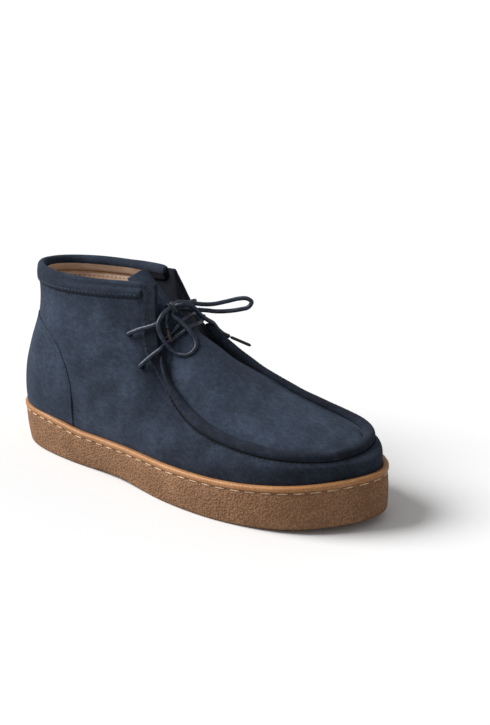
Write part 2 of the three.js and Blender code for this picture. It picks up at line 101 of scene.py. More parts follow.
# ---------- the sections of the last ----------
# A row for each section round the boot, from the toe along the outer side to the heel and back.
COLUMNS = ("rim_x", "rim_y", "top_x", "top_y", "top_z")
SECTIONS = np.array(
    [
        [150.5, 9, 133, 8, 50],
        [147.5, -4, 131, -6, 49.7],
        [138, -19, 125.5, -19, 49.7],
        [120, -38, 113, -30.5, 50],
        [95, -50, 95, -37, 50],
        [65, -56.4, 70, -39, 50.5],
        [35, -56.4, 42, -37, 53.5],
        [15, -54.5, 20, -33, 61],
        [0, -51.5, 4, -29, 72],
        [-11, -50, -6, -26, 85],
        [-20, -48.5, -11.5, -20.5, 105],
        [-29, -47.5, -17, -14.5, 134],
        [-52, -45.5, -50, -26, 132.5],
        [-82, -43.5, -85, -32, 131],
        [-115, -40, -115, -27, 130.5],
        [-141, -27.5, -132, -14.5, 130.5],
        [-152.5, 0, -137.5, 0, 130],
        [-141, 27.5, -132, 14.5, 129.5],
        [-115, 39, -115, 26.5, 129.3],
        [-82, 42, -85, 31.5, 130.3],
        [-52, 42, -52, 27, 132.8],
        [-34, 42, -27, 17, 136.5],
        [-23, 42.5, -20, 20.5, 120],
        [-10, 43.5, -11, 21.5, 106],
        [4, 45, 3, 22.5, 95.5],
        [20, 47.5, 18, 24, 86.5],
        [40, 50, 38, 26.5, 76],
        [65, 54.2, 62, 29.5, 67],
        [95, 54.6, 88, 32.5, 60.5],
        [119, 47, 110, 34, 56.5],
        [135.5, 34.5, 124.5, 30, 54],
        [146, 22, 131.5, 20, 51.5],
    ]
)
STATIONS = len(SECTIONS)
HEEL = STATIONS / 2
CORNERS = (11, 21)

# How the upper's section swells between its foot and its top edge. It changes towards the heel.
BLEND_START = -30.0
BLEND_RUN = 110.0
BULGE = 1.0
BULGE_MORE = 4.0
OVERHANG = 9.0
OVERHANG_HEEL = -8.0
LOW_SHARE = 0.38
LOW_MORE = 0.3
LOW_FROM = 14.0
LOW_FADE = 20.0
HIGH_SHARE = 0.42
HIGH_FROM = 13.0
HIGH_FADE = 22.0
INNER_FULLNESS = 0.9

# The apron's and tongue's cross sections from the toe to the tip: crest height, how round, and how
# far each edge stands past the upper's edge (on) and lies inside it (under).
APRON_COLUMNS = ("station", "crest", "round", "outer_on", "outer_under", "inner_on", "inner_under")
APRON = np.array(
    [
        [0.5, 46.9, 2.2, GAP, 0, GAP, 0],
        [1, 47.9, 2.2, GAP, 0, GAP, 0],
        [1.5, 48.8, 2.2, GAP, 0, GAP, 0],
        [2, 50, 2.2, GAP, 0, GAP, 0],
        [2.5, 52.2, 2.2, GAP, 0, GAP, 0],
        [3, 54, 2.1, GAP, 0, GAP, 0],
        [3.5, 56, 2.1, GAP, 0, GAP, 0],
        [4, 58.5, 2, GAP, 0, GAP, 0],
        [4.5, 61.5, 2, GAP, 0, GAP, 0],
        [5, 66, 1.9, GAP, 0, GAP, 0],
        [5.5, 72, 1.8, GAP, 0, 1, 0.6],
        [6, 79, 1.7, GAP, 0, 1.4, 2],
        [6.5, 85.5, 1.6, GAP, 0, 0.6, 3.4],
        [7, 92, 1.55, GAP, 0, -2, 4.4],
        [7.5, 98, 1.5, GAP, 0, -5, 4.8],
        [8, 103.5, 1.45, 0.8, 0.6, -7, 5],
        [8.5, 108, 1.4, 1.4, 2.4, -8, 5.4],
        [9, 112, 1.4, -0.5, 4.2, -9, 6],
    ]
)
TONGUE_COLUMNS = ("crest_x", "crest", "half", "depth", "round")
TONGUE = np.array(
    [
        [-14, 116, 13.9, 11, 1.35],
        [-22, 124, 12.5, 9.5, 1.3],
        [-30.5, 131.4, 10.8, 8, 1.3],
        [-38.6, 138.5, 9.2, 7, 1.3],
    ]
)
TONGUE_SIDE = -2.5

# ---------- the lace's routes, in millimetres ----------
BAR_ROUTE = [
    (-16.4, -33, 81.5), (-11, -29.1, 88), (-5.8, -24.4, 93.4), (-5.4, -18.4, 96), (-1.1, -11.3, 100.8),
    (3.5, -5.6, 105.5), (3.4, 1.4, 106.3), (0.2, 8, 104.5), (-3.6, 15, 103.2), (-6.8, 22.2, 105.2),
    (-11.6, 26.6, 101.4), (-17.8, 30.7, 94.4), (-22, 32.1, 87.6),
]
CROSS_ROUTE = [
    (-8.8, -16.2, 97.6), (-6.2, -11.6, 101.8), (-2.4, -5.9, 108.3), (-3.4, 0.8, 110.9),
    (-6.3, 7.2, 110), (-10, 16.6, 107.8),
]
OUTER_ROUTE = [
    (-30.3, -29.2, 100.4), (-22.2, -26.8, 104.7), (-15.2, -24.2, 107.4), (-10.6, -21.8, 109.6),
    (-11.2, -15.4, 112.6),
]
INNER_ROUTE = [
    (-32.4, 28.4, 105), (-24, 27.3, 110.5), (-17.8, 24.7, 113.6), (-13.6, 20.8, 115.4),
    (-11.8, 12, 116.6), (-11.6, 3.2, 117.4),
]
NEAR_LOOP_ROUTE = [
    (-6.4, -10.6, 113.6), (-0.2, -9.4, 110), (6.5, -8.8, 105), (11.3, -8.9, 99.8), (13.8, -10.6, 96),
    (12.8, -14.2, 92.2), (8.8, -16.8, 90.6), (2.6, -18.4, 91.4), (-1.4, -21, 95.5), (-3, -23.8, 100.3),
    (-6.2, -24, 105.2), (-7.4, -24, 110), (-8, -19.6, 114.8), (-8.8, -12.8, 117.4),
]
NEAR_END_ROUTE = [(-10, -12, 112.8), (-9, -14.4, 109), (-6.2, -15.8, 105.2)]
FAR_LOOP_ROUTE = [
    (-10.6, 0.4, 119.6), (-8, 4, 119), (-5.4, 9, 117.8), (-1.8, 15.4, 116.2), (2.2, 22, 115.6),
    (8.2, 29, 117), (14.6, 34, 118.9), (19.6, 36.6, 119.2), (22.4, 38, 117), (20.8, 36.4, 113.4),
    (17, 33, 112), (11, 28.6, 110.8), (4.4, 22.8, 110.6), (-1.6, 18, 111.4), (-5.4, 13.4, 112.2),
    (-8.6, 8, 113.2), (-9.4, 3, 114.6),
]
FAR_END_ROUTE = [
    (-6.8, -3, 119.2), (-4.4, -0.6, 119.6), (-2.2, 2.6, 118.4), (-0.6, 5.6, 115.8), (0.3, 8.6, 112.2),
    (1, 12, 108.6), (1.6, 16.6, 105.4), (1.4, 22.4, 101.8), (1.4, 27.8, 96), (3, 31.6, 92.2),
    (6.2, 35, 89.8),
]
KNOT_MIDDLE = np.array([-11, -5.6, 116.2])
KNOT_AXIS = np.array([0.62, -0.3, 0.72])
HOLES = {
    "outer_top": OUTER_ROUTE[0],
    "outer_low": BAR_ROUTE[0],
    "inner_low": BAR_ROUTE[-1],
    "inner_top": INNER_ROUTE[0],
}
HOLE_SIZE = 2.6


# ---------- numbers ----------
def smooth(start: float, end: float, value: Array) -> Array:
    """An S-shaped step from 0 at start to 1 at end."""
    f = np.clip((np.asarray(value, float) - start) / (end - start), 0, 1)
    return f * f * (3 - 2 * f)


def unit(vectors: Array) -> Array:
    """The vectors scaled to a length of one."""
    return vectors / np.linalg.norm(vectors, axis=-1, keepdims=True)


def ripple(points: Array, size: float, seed: int) -> Array:
    """A soft pseudo-random field from -1 to 1.

    Args:
        points: places in millimetres, one a row.
        size: the width of a hump in millimetres.
        seed: a number that picks the field.

    Returns:
        One value for each place.
    """
    rng = np.random.default_rng(seed)
    directions = unit(rng.normal(size=(7, 3)))
    phases = rng.uniform(0, 2 * math.pi, 7)
    waves = points @ directions.T * (math.pi / size) * rng.uniform(0.7, 1.4, 7) + phases
    return np.sin(waves).sum(axis=-1) / 4


def distances(points: Array, power: float = 1.0) -> Array:
    """How far along a line each of its points lies, with every step raised to a power."""
    return np.concatenate([[0], np.cumsum(np.linalg.norm(np.diff(points, axis=0), axis=1) ** power)])


def from_ends(count: int) -> Array:
    """How many steps each of a line's places is from its nearer end."""
    return np.minimum(np.arange(count + 1), np.arange(count, -1, -1))


def rounded(ends: Array) -> Array:
    """How full a rounded end is, from 0 at the tip to 1 at a share of 1."""
    return np.sqrt(np.clip(ends * (2 - np.minimum(ends, 1)), 0, 1))


def on_grid(grid: Array) -> Place:
    """A surface function that reads a grid of points, with v down its rows and u along them."""

    def place(u: Array, v: Array) -> Array:
        """A point of the grid."""
        row, along = v * (grid.shape[0] - 1), u * (grid.shape[1] - 1)
        return grid[np.rint(row).astype(int), np.rint(along).astype(int)]

    return place


def smooth_path(rows: Sequence[Sequence[float]], closed: bool = False) -> Callable[[Array], Array]:
    """A centripetal Catmull-Rom curve through the rows.

    Args:
        rows: the points that the curve passes through.
        closed: whether the last point leads back to the first.

    Returns:
        A function from 0 to 1 that gives places on the curve.
    """
    points = np.array(rows, float)
    if closed:
        points = np.concatenate([points[-1:], points, points[:2]])
    else:
        points = np.concatenate([[2 * points[0] - points[1]], points, [2 * points[-1] - points[-2]]])
    knots = distances(points, 0.5)
    spans = len(points) - 3

    def at(share: Array) -> Array:
        """Places on the curve."""
        position = np.clip(np.asarray(share, float), 0, 1) * spans
        i = np.minimum(position.astype(int), spans - 1)
        t = (knots[i + 1] + (knots[i + 2] - knots[i + 1]) * (position - i))[..., None]

        def mix(a: Array, b: Array, start: int, end: int) -> Array:
            """One step of the pyramid between two knots."""
            low, high = knots[i + start][..., None], knots[i + end][..., None]
            return (a * (high - t) + b * (t - low)) / (high - low)

        p = [points[i + k] for k in range(4)]
        a = [mix(p[k], p[k + 1], k, k + 1) for k in range(3)]
        b = [mix(a[k], a[k + 1], k, k + 2) for k in range(2)]
        return mix(b[0], b[1], 1, 2)

    return at


# ---------- the last ----------
def column(name: str, station: Array, corners: Sequence[int] = ()) -> Array:
    """A column of the sections at any station, as a closed cubic B-spline with sharp corner rows."""
    values = SECTIONS[:, COLUMNS.index(name)]
    whole = np.floor(station)
    row = whole.astype(int) % STATIONS
    f = station - whole
    b, c = values[row], values[(row + 1) % STATIONS]
    a = np.where(np.isin(row, corners), 2 * b - c, values[row - 1])
    d = np.where(np.isin((row + 1) % STATIONS, corners), 2 * c - b, values[(row + 2) % STATIONS])
    ahead = -3 * f**3 + 3 * f**2 + 3 * f + 1
    behind = 3 * f**3 - 6 * f**2 + 4
    return ((1 - f) ** 3 * a + behind * b + ahead * c + f**3 * d) / 6


def lift(x: Array) -> Array:
    """The toe spring: how far the sole lies off the floor."""
    return SPRING * np.clip((x - SPRING_START) / SPRING_RUN, 0, 1) ** 2


def rim_height(x: Array) -> Array:
    """The cup's rim above the floor."""
    heel_rise = HEEL_RISE * (1 - smooth(HEEL_RISE_END, HEEL_RISE_START, x))
    return RIM_HEIGHT + RIM_RISE * ((x + 150) / 300) + heel_rise + lift(x)


def floor_height(x: Array) -> Array:
    """The rubber's inner face under the foot."""
    return FLOOR_HEEL + (FLOOR_TOE - FLOOR_HEEL) * smooth(-90, 20, x) + lift(x)


def archness(x: Array) -> Array:
    """1 at the arch's middle and 0 where the sole is flat."""
    return np.cos(np.clip(np.abs(x - ARCH_MIDDLE) / ARCH_HALF, 0, 1) * math.pi / 2) ** 2


def outline(station: Array, inset: Array) -> tuple[Array, Array]:
    """The rim's outline on the plan, drawn in by an inset, and its outward direction."""
    step = 1e-3
    ahead, behind = station + step, station - step
    along_x = column("rim_x", ahead) - column("rim_x", behind)
    along_y = column("rim_y", ahead) - column("rim_y", behind)
    out = unit(np.stack([-along_y, along_x, np.zeros_like(along_x)], -1))
    rim = np.stack([column("rim_x", station), column("rim_y", station), np.zeros_like(along_x)], -1)
    return rim - out * np.asarray(inset)[..., None], out


def from_toe(station: Array) -> Array:
    """How many stations a place is from the toe, on either side."""
    wrapped = np.mod(station, STATIONS)
    return np.minimum(wrapped, STATIONS - wrapped)


def on_outer(station: Array) -> Array:
    """Whether a station is on the foot's outer side."""
    return np.mod(station, STATIONS) < HEEL


def ridge_height(station: Array) -> Array:
    """How far the apron's roll stands over the seam."""
    toe = from_toe(station)
    fade = np.where(on_outer(station), smooth(8.2, 10.2, toe), smooth(7.6, 9.8, toe))
    return RIDGE_HEIGHT * (1 - fade)


def controls(station: Array) -> Array:
    """The four control points of the upper's section at each station."""
    foot, out = outline(station, np.full_like(station, CUP_WALL + GAP))
    foot[..., 2] = rim_height(foot[..., 0])
    crest = np.stack([column(name, station, CORNERS) for name in COLUMNS[2:]], -1)
    height = crest[..., 2] - foot[..., 2]
    back = np.clip((BLEND_START - foot[..., 0]) / BLEND_RUN, 0, 1)
    rise = height * (LOW_SHARE + LOW_MORE * np.exp(-(height - LOW_FROM) / LOW_FADE))
    fuller = np.where(on_outer(station), 1, INNER_FULLNESS)
    drop = HIGH_SHARE * height * (1 - np.exp(-np.maximum(height - HIGH_FROM, 0.5) / HIGH_FADE)) * fuller
    overhang = OVERHANG + (OVERHANG_HEEL - OVERHANG) * back
    up = np.array([0.0, 0.0, 1.0])
    proud = unit(out * drop[..., None] + up * overhang[..., None])
    normal = np.where((back > 0)[..., None], out, proud)
    seam = crest - normal * ridge_height(station)[..., None]
    low = foot + up * rise[..., None] + out * (BULGE + BULGE_MORE * back)[..., None]
    high = seam + out * overhang[..., None] - up * drop[..., None]
    return np.stack([foot, low, high, seam], -2)


def bezier(corners: Array, t: Array) -> Array:
    """Places on cubic curves."""
    t = np.asarray(t)[..., None]
    a, b, c, d = (corners[..., k, :] for k in range(4))
    return (1 - t) ** 3 * a + 3 * t * (1 - t) ** 2 * b + 3 * t * t * (1 - t) * c + t**3 * d


def face(station: Array, level: Array, offset: Array = 0.0) -> tuple[Array, Array, Array]:
    """The upper's outer face.

    Args:
        station: the place round the boot.
        level: 0 at the sole and 1 at the top edge.
        offset: how far the point is moved out along the face.

    Returns:
        The points, the outward directions and the upward directions.
    """
    station, level = np.broadcast_arrays(np.asarray(station, float), np.asarray(level, float))
    step = 1e-3
    inside = np.clip(level, step, 1 - step)
    along = bezier(controls(station - step), inside) - bezier(controls(station + step), inside)
    here = controls(station)
    up = bezier(here, inside + step) - bezier(here, inside - step)
    normal = unit(np.cross(along, up))
    return bezier(here, level) + normal * np.asarray(offset)[..., None], normal, unit(up)


def top_reach(station: Array) -> Array:
    """The length of one whole level near the upper's top edge."""
    corners = controls(station)
    return 3 * np.linalg.norm(corners[..., 3, :] - corners[..., 2, :], axis=-1)


def collar_level(station: Array) -> Array:
    """The level of the collar's seam."""
    return 1 - COLLAR_DROP / top_reach(station)


def top_level(station: Array) -> Array:
    """The level where the upper's wall ends, lower under the collar."""
    wrapped = np.mod(station, STATIONS)
    under = (wrapped > COLLAR_OUTER_FRONT - 0.02) & (wrapped < COLLAR_INNER_FRONT + 0.02)
    return np.where(under, collar_level(station), 1.0)


def level_at(station: Array, height: Array) -> Array:
    """The level where the face reaches a height."""
    corners = controls(station)
    low, high = np.zeros_like(station), np.ones_like(station)
    for _ in range(24):
        middle = (low + high) / 2
        above = bezier(corners, middle)[..., 2] > height
        low, high = np.where(above, low, middle), np.where(above, middle, high)
    return (low + high) / 2


def station_at(x: Array, height: Array, outer: bool) -> Array:
    """The station on one side where the face has a given x and height."""
    low = np.full_like(x, 0.5 if outer else STATIONS - 0.5)
    high = np.full_like(x, HEEL)
    for _ in range(26):
        middle = (low + high) / 2
        ahead = bezier(controls(middle), level_at(middle, height))[..., 0] > x
        low, high = np.where(ahead, middle, low), np.where(ahead, high, middle)
    return (low + high) / 2


def side_seam(rows: Sequence[Sequence[float]], outer: bool, count: int, offset: float) -> tuple[Array, Array]:
    """A seam drawn on the side of the boot.

    Args:
        rows: its (x, z) points.
        outer: whether it is on the outer side.
        count: how many places to give.
        offset: how far it lies over the face.

    Returns:
        Places along it and the face's directions there.
    """
    drawn = smooth_path(rows)(np.linspace(0, 1, count))
    x, height = drawn[:, 0], drawn[:, 1]
    station = station_at(x, height, outer)
    point, normal, _ = face(station, level_at(station, height), offset)
    return point, normal


def hole_at(name: str) -> tuple[Array, Array]:
    """The middle of a punched lace hole on the upper's face, and its outward direction."""
    x, y, height = (np.array([float(c)]) for c in HOLES[name])
    station = station_at(x, height, bool(y[0] < 0))
    point, normal, _ = face(station, level_at(station, height))
    return point[0], normal[0]


# ---------- the apron and tongue ----------
def _apron_rows() -> tuple[Array, Array, Array, Array]:
    """The outer edges, inner edges, crowns and roundness of every cross section."""
    value = {name: APRON[:, k] for k, name in enumerate(APRON_COLUMNS)}
    edges = []
    for side, station in (("outer", value["station"]), ("inner", STATIONS - value["station"])):
        point, normal, up = face(station, np.ones_like(station))
        on, under = value[side + "_on"][:, None], value[side + "_under"][:, None]
        edges.append(point + up * on - normal * under)
    middle = (edges[0] + edges[1]) / 2
    crown = np.stack([0 * middle[:, 0], 0 * middle[:, 0], value["crest"] - middle[:, 2]], -1)

    tip = {name: TONGUE[:, k] for k, name in enumerate(TONGUE_COLUMNS)}
    back = tip["depth"] * math.sqrt(0.5)
    for k, side in enumerate((-1, 1)):
        edge = np.stack([tip["crest_x"] - back, side * tip["half"] + TONGUE_SIDE, tip["crest"] - back], -1)
        edges[k] = np.concatenate([edges[k], edge])
    crown = np.concatenate([crown, np.stack([back, 0 * back, back], -1)])
    roundness = np.concatenate([value["round"], tip["round"]])
    return edges[0], edges[1], crown, roundness


APRON_OUTER, APRON_INNER, APRON_CROWN, APRON_ROUND = _apron_rows()
APRON_COUNT = len(APRON_ROUND)


def apron(row: Array, t: Array) -> Array:
    """The apron's outer face.

    Args:
        row: the place among the cross sections, 0 at the toe.
        t: 0 at the outer edge and 1 at the inner edge.

    Returns:
        The points.
    """

    def between(values: Array) -> Array:
        """A row's value between two sections, as a Catmull-Rom curve."""
        i = np.clip(row.astype(int), 0, APRON_COUNT - 2)
        f = (row - i).reshape(row.shape + (1,) * (values.ndim - 1))
        p = [values[np.clip(i + k, 0, APRON_COUNT - 1)] for k in (-1, 0, 1, 2)]
        slope_a, slope_b = (p[2] - p[0]) / 2, (p[3] - p[1]) / 2
        return (
            (2 * f**3 - 3 * f**2 + 1) * p[1]
            + (f**3 - 2 * f**2 + f) * slope_a
            + (3 * f**2 - 2 * f**3) * p[2]
            + (f**3 - f**2) * slope_b
        )

    outer, inner, crown = between(APRON_OUTER), between(APRON_INNER), between(APRON_CROWN)
    share = (1 - np.abs(2 * t - 1) ** between(APRON_ROUND))[..., None]
    return outer + (inner - outer) * t[..., None] + crown * share


# ---------- meshes ----------
def add_object(name: str, data: bpy.types.ID | None) -> bpy.types.Object:
    """Puts a new object with its data into the scene, at the origin."""
    piece = bpy.data.objects.new(name, data)
    bpy.context.scene.collection.objects.link(piece)
    return piece


def link(mesh: bmesh.types.BMesh, name: str) -> bpy.types.Object:
    """Turns a bmesh into a smooth-shaded object at the origin."""
    data = bpy.data.meshes.new(name)
    mesh.to_mesh(data)
    mesh.free()
    data.polygons.foreach_set("use_smooth", [True] * len(data.polygons))
    return add_object(name, data)


def surface(
    name: str,
    steps: tuple[int, int],
    place: Place,
    parts: Callable[[Array, Array], Array] | None = None,
    outward: bool = True,
) -> bpy.types.Object:
    """A grid laid over a surface function, with its seams welded.

    Args:
        name: the piece's name.
        steps: how many faces the grid has each way.
        place: gives places in millimetres from the grid's two shares, 0 to 1.
        parts: gives each face's material number from its shares.
        outward: whether the faces are turned to point out of a closed form.

    Returns:
        The new object, with the two shares as its UV map.
    """
    mesh = bmesh.new()
    bmesh.ops.create_grid(mesh, x_segments=steps[0], y_segments=steps[1], size=0.5)
    shares = np.array([vertex.co[:2] for vertex in mesh.verts]) + 0.5
    layer = mesh.loops.layers.uv.new("shares")
    for polygon in mesh.faces:
        for loop in polygon.loops:
            loop[layer].uv = shares[loop.vert.index]
    if parts:
        middles = np.array([polygon.calc_center_median()[:2] for polygon in mesh.faces]) + 0.5
        for polygon, number in zip(mesh.faces, parts(middles[:, 0], middles[:, 1])):
            polygon.material_index = int(number)
    for vertex, point in zip(mesh.verts, place(shares[:, 0], shares[:, 1]) * MM):
        vertex.co = point
    bmesh.ops.remove_doubles(mesh, verts=mesh.verts, dist=1e-6)
    bmesh.ops.dissolve_degenerate(mesh, dist=1e-7, edges=mesh.edges)
    if outward:
        bmesh.ops.recalc_face_normals(mesh, faces=mesh.faces)
    return link(mesh, name)


def thicken(piece: bpy.types.Object, thickness: float, even: bool = True) -> None:
    """Gives a sheet a wall under its outer face, of even thickness round its bends where that is asked."""
    wall = piece.modifiers.new("wall", "SOLIDIFY")
    wall.thickness = thickness * MM
    wall.offset = -1
    wall.use_even_offset = even


@dataclass(frozen=True)
class Stitch:
    """A run of stitches: the length of one, the air between two and the thread's width."""

    length: float = 3.0
    air: float = 0.9
    width: float = 0.7
    sunk: float = 0.3

    def sew(self, name: str, seams: Sequence[tuple[Array, Array]]) -> bpy.types.Object:
        """Sews along seams.

        Args:
            name: the piece's name.
            seams: the places and outward directions along each seam.

        Returns:
            One object that holds every stitch.
        """
        mesh = bmesh.new()
        for points, normals in seams:
            run = distances(points)
            count = max(1, int(run[-1] / (self.length + self.air)))
            middles = (np.arange(count) + 0.5) * run[-1] / count

            def at(distance: Array, values: Array) -> Array:
                """Values at distances along the seam."""
                return np.stack([np.interp(distance, run, values[:, k]) for k in range(3)], -1)

            spots = at(middles, points)
            along = unit(at(middles + 0.5, points) - at(middles - 0.5, points))
            out = unit(at(middles, normals))
            side = unit(np.cross(out, along))
            out = np.cross(along, side)
            for spot, a, s, o in zip(spots - out * self.sunk * self.width, along, side, out):
                turn = Matrix((a, s, o)).transposed().to_4x4()
                grow = Matrix.Diagonal((self.length / 2 * MM, self.width / 2 * MM, self.width / 2 * MM, 1))
                place = Matrix.Translation(Vector(spot * MM)) @ turn @ grow
                bmesh.ops.create_uvsphere(mesh, u_segments=6, v_segments=5, radius=1, matrix=place)
        return link(mesh, name)


def tube(
    name: str, route: Callable[[Array], Array], radius: float, steps: int
) -> tuple[bpy.types.Object, Array]:
    """A round cord along a route, with rounded ends.

    Args:
        name: the piece's name.
        route: gives places in millimetres along the middle of the cord.
        radius: the cord's radius.
        steps: how many faces it has along its length.

    Returns:
        The new object and the points of its path, in metres.
    """
    shares = np.linspace(0, 1, steps + 1)
    path = route(shares)
    tangent = unit(np.gradient(path, axis=0))
    side = np.zeros_like(path)
    side[0] = unit(np.cross(tangent[0], [0.3, 0.2, 1.0]))
    for i in range(1, len(path)):
        side[i] = unit(side[i - 1] - tangent[i] * (side[i - 1] @ tangent[i]))
    over = np.cross(tangent, side)
    swell = rounded(from_ends(steps) / 2)

    def place(u: Array, v: Array) -> Array:
        """A place on the cord from the shares along and round it."""
        i = np.rint(u * steps).astype(int)
        angle = v * 2 * math.pi
        reach = radius * swell[i][:, None]
        return path[i] + reach * (side[i] * np.cos(angle)[:, None] + over[i] * np.sin(angle)[:, None])

    return surface(name, (steps, 12), place), path * MM


# ---------- finishes ----------
def paint(red: int, green: int, blue: int) -> tuple[float, float, float, float]:
    """A linear colour from display values of 0 to 255."""
    shares = (c / 255 for c in (red, green, blue))
    linear = [c / 12.92 if c <= 0.04045 else ((c + 0.055) / 1.055) ** 2.4 for c in shares]
    return (*linear, 1.0)


class Recipe:
    """A material while its nodes are put together."""

    def __init__(self, name: str, roughness: float, specular: float = 0.5) -> None:
        """Starts a material with its shader."""
        self.material = bpy.data.materials.new(name)
        self.material.use_nodes = True
        self.tree = self.material.node_tree
        self.shader = self.tree.nodes["Principled BSDF"]
        self.shader.inputs["Roughness"].default_value = roughness
        self.shader.inputs["Specular IOR Level"].default_value = specular
        self.where = self.tree.nodes.new("ShaderNodeTexCoord")

    def node(self, kind: str, links: dict[str, object], **settings: object) -> bpy.types.Node:
        """Adds a node.

        Args:
            kind: the node's type without its ShaderNode prefix.
            links: for each input, a socket to link or a value to set.
            settings: the node's own properties.

        Returns:
            The node.
        """
        node = self.tree.nodes.new("ShaderNode" + kind)
        for key, value in settings.items():
            setattr(node, key, value)
        for key, value in links.items():
            self.feed(node, key, value)
        return node

    def feed(self, node: bpy.types.Node, key: str | int, value: object) -> None:
        """Links or sets one input of a node."""
        if isinstance(value, bpy.types.NodeSocket):
            self.tree.links.new(value, node.inputs[key])
        else:
            node.inputs[key].default_value = value

    def noise(self, size: float, detail: float, stretch: Sequence[float] = (1, 1, 1)) -> bpy.types.NodeSocket:
        """A noise whose humps are about this many millimetres wide."""
        mapped = self.node("Mapping", {"Vector": self.where.outputs["Object"], "Scale": stretch})
        inputs = {"Vector": mapped.outputs["Vector"], "Scale": 1 / (size * MM), "Detail": detail}
        return self.node("TexNoise", inputs).outputs["Fac"]

    def ramp(self, value: bpy.types.NodeSocket, *stops: tuple[float, tuple]) -> bpy.types.NodeSocket:
        """Display colours along a value."""
        ramp = self.node("ValToRGB", {"Fac": value})
        while len(ramp.color_ramp.elements) < len(stops):
            ramp.color_ramp.elements.new(0.5)
        for element, (spot, color) in zip(ramp.color_ramp.elements, stops):
            element.position = spot
            element.color = paint(*color)
        return ramp.outputs["Color"]

    def mix(self, share: object, a: object, b: object) -> bpy.types.NodeSocket:
        """Two colours mixed."""
        return self.node("Mix", {0: share, 6: a, 7: b}, data_type="RGBA").outputs[2]

    def add(self, a: object, b: object, operation: str = "ADD") -> bpy.types.NodeSocket:
        """Arithmetic on two values."""
        return self.node("Math", {0: a, 1: b}, operation=operation).outputs[0]

    def blend(self, *shares: tuple[object, float]) -> bpy.types.NodeSocket:
        """The sum of values, each times its share."""
        parts = [self.add(value, share, "MULTIPLY") for value, share in shares]
        total = parts[0]
        for part in parts[1:]:
            total = self.add(total, part)
        return total

    def bump(self, height: bpy.types.NodeSocket, depth: float, strength: float = 1.0) -> None:
        """Bumps the surface by a height field, with a depth in millimetres."""
        bump = self.node("Bump", {"Height": height, "Distance": depth * MM, "Strength": strength})
        self.feed(self.shader, "Normal", bump.outputs["Normal"])

    def done(self, color: object) -> bpy.types.Material:
        """Finishes the material with its colour."""
        self.feed(self.shader, "Base Color", color)
        return self.material


@dataclass(frozen=True)
class Suede:
    """Napped suede: mottled patches, streaks and a fine fuzz, and where asked a painted shade that darkens it
    towards the toe.
    """

    name: str = "navy_suede"
    dark: tuple[int, int, int] = (38, 46, 58)
    middle: tuple[int, int, int] = (52, 62, 78)
    light: tuple[int, int, int] = (70, 81, 99)
    shaded_to_toe: bool = False

    def make(self) -> bpy.types.Material:
        """The material."""
        r = Recipe(self.name, 0.92, 0.2)
        r.shader.inputs["Sheen Weight"].default_value = 0.08
        r.shader.inputs["Sheen Roughness"].default_value = 0.6
        r.shader.inputs["Sheen Tint"].default_value = paint(170, 180, 205)
        patches = r.noise(20, 5, (1, 1, 0.8))
        streaks = r.noise(3.0, 3, (0.7, 1, 1.2))
        fuzz = r.noise(0.6, 3)
        tone = r.blend((patches, 0.35), (streaks, 0.25), (fuzz, 0.4))
        r.bump(r.add(fuzz, r.add(streaks, 0.5, "MULTIPLY")), 0.4, 0.6)
        color = r.ramp(tone, (0.38, self.dark), (0.5, self.middle), (0.62, self.light))
        if self.shaded_to_toe:
            # Painted shade: the colour darkens towards the toe along X, standing in for the shade that falls
            # on the front of the wall under the apron's roll.
            x = r.node("SeparateXYZ", {"Vector": r.where.outputs["Object"]}).outputs["X"]
            forward = r.node("MapRange", {"Value": x, 1: -0.06, 2: 0.03, 3: 0.0, 4: 0.78}).outputs[0]
            color = r.mix(forward, color, r.ramp(tone, (0.4, (22, 28, 38)), (0.62, (50, 59, 74))))
        return r.done(color)


@dataclass(frozen=True)
class Leather:
    """Smooth lining leather with fine pores."""

    name: str = "tan_lining"
    # Painted light: near-white tones that stand in for light which the shaded inside of the boot doesn't get.
    light: tuple[int, int, int] = (252, 219, 190)
    dark: tuple[int, int, int] = (238, 202, 172)

    def make(self) -> bpy.types.Material:
        """The material."""
        r = Recipe(self.name, 0.62)
        patches = r.noise(9, 4)
        pores = r.noise(0.7, 2)
        r.bump(pores, 0.12, 0.5)
        return r.done(r.ramp(patches, (0.35, self.dark), (0.65, self.light)))


@dataclass(frozen=True)
class Crepe:
    """Natural crepe rubber: crinkled pebbles, or smooth for the rim band."""

    name: str
    light: tuple[int, int, int]
    dark: tuple[int, int, int]
    pebble: float
    depth: float
    roughness: float = 0.72

    def make(self) -> bpy.types.Material:
        """The material."""
        r = Recipe(self.name, self.roughness, 0.4)
        size = 1 / (self.pebble * MM)
        cells = r.node("TexVoronoi", {"Vector": r.where.outputs["Object"], "Scale": size}, feature="F1")
        crinkle = r.add(cells.outputs["Distance"], r.noise(self.pebble, 3))
        smudge = r.noise(18, 4)
        tone = r.blend((crinkle, 0.5), (smudge, 0.5))
        r.bump(r.add(1.0, crinkle, "SUBTRACT"), self.depth, 1.0)
        return r.done(r.ramp(tone, (0.5, self.light), (0.85, self.dark)))


@dataclass(frozen=True)
class Cord:
    """Waxed round cord whose plait runs round it."""

    name: str = "waxed_lace"
    light: tuple[int, int, int] = (48, 64, 88)
    dark: tuple[int, int, int] = (12, 17, 29)

    def make(self) -> bpy.types.Material:
        """The material."""
        r = Recipe(self.name, 0.42, 0.6)
        patches = r.noise(3, 3)
        plait = r.noise(0.7, 1)
        r.bump(r.add(plait, patches), 0.25, 0.6)
        tone = r.blend((patches, 0.6), (plait, 0.4))
        return r.done(r.ramp(tone, (0.38, self.dark), (0.64, self.light)))


@dataclass(frozen=True)
class Plain:
    """A thread or a tip: one colour with a soft mottle."""

    name: str
    color: tuple[int, int, int]
    roughness: float = 0.7

    def make(self) -> bpy.types.Material:
        """The material."""
        r = Recipe(self.name, self.roughness)
        mottle = r.noise(1.2, 2)
        darker = tuple(int(c * 0.72) for c in self.color)
        return r.done(r.ramp(mottle, (0.35, darker), (0.65, self.color)))


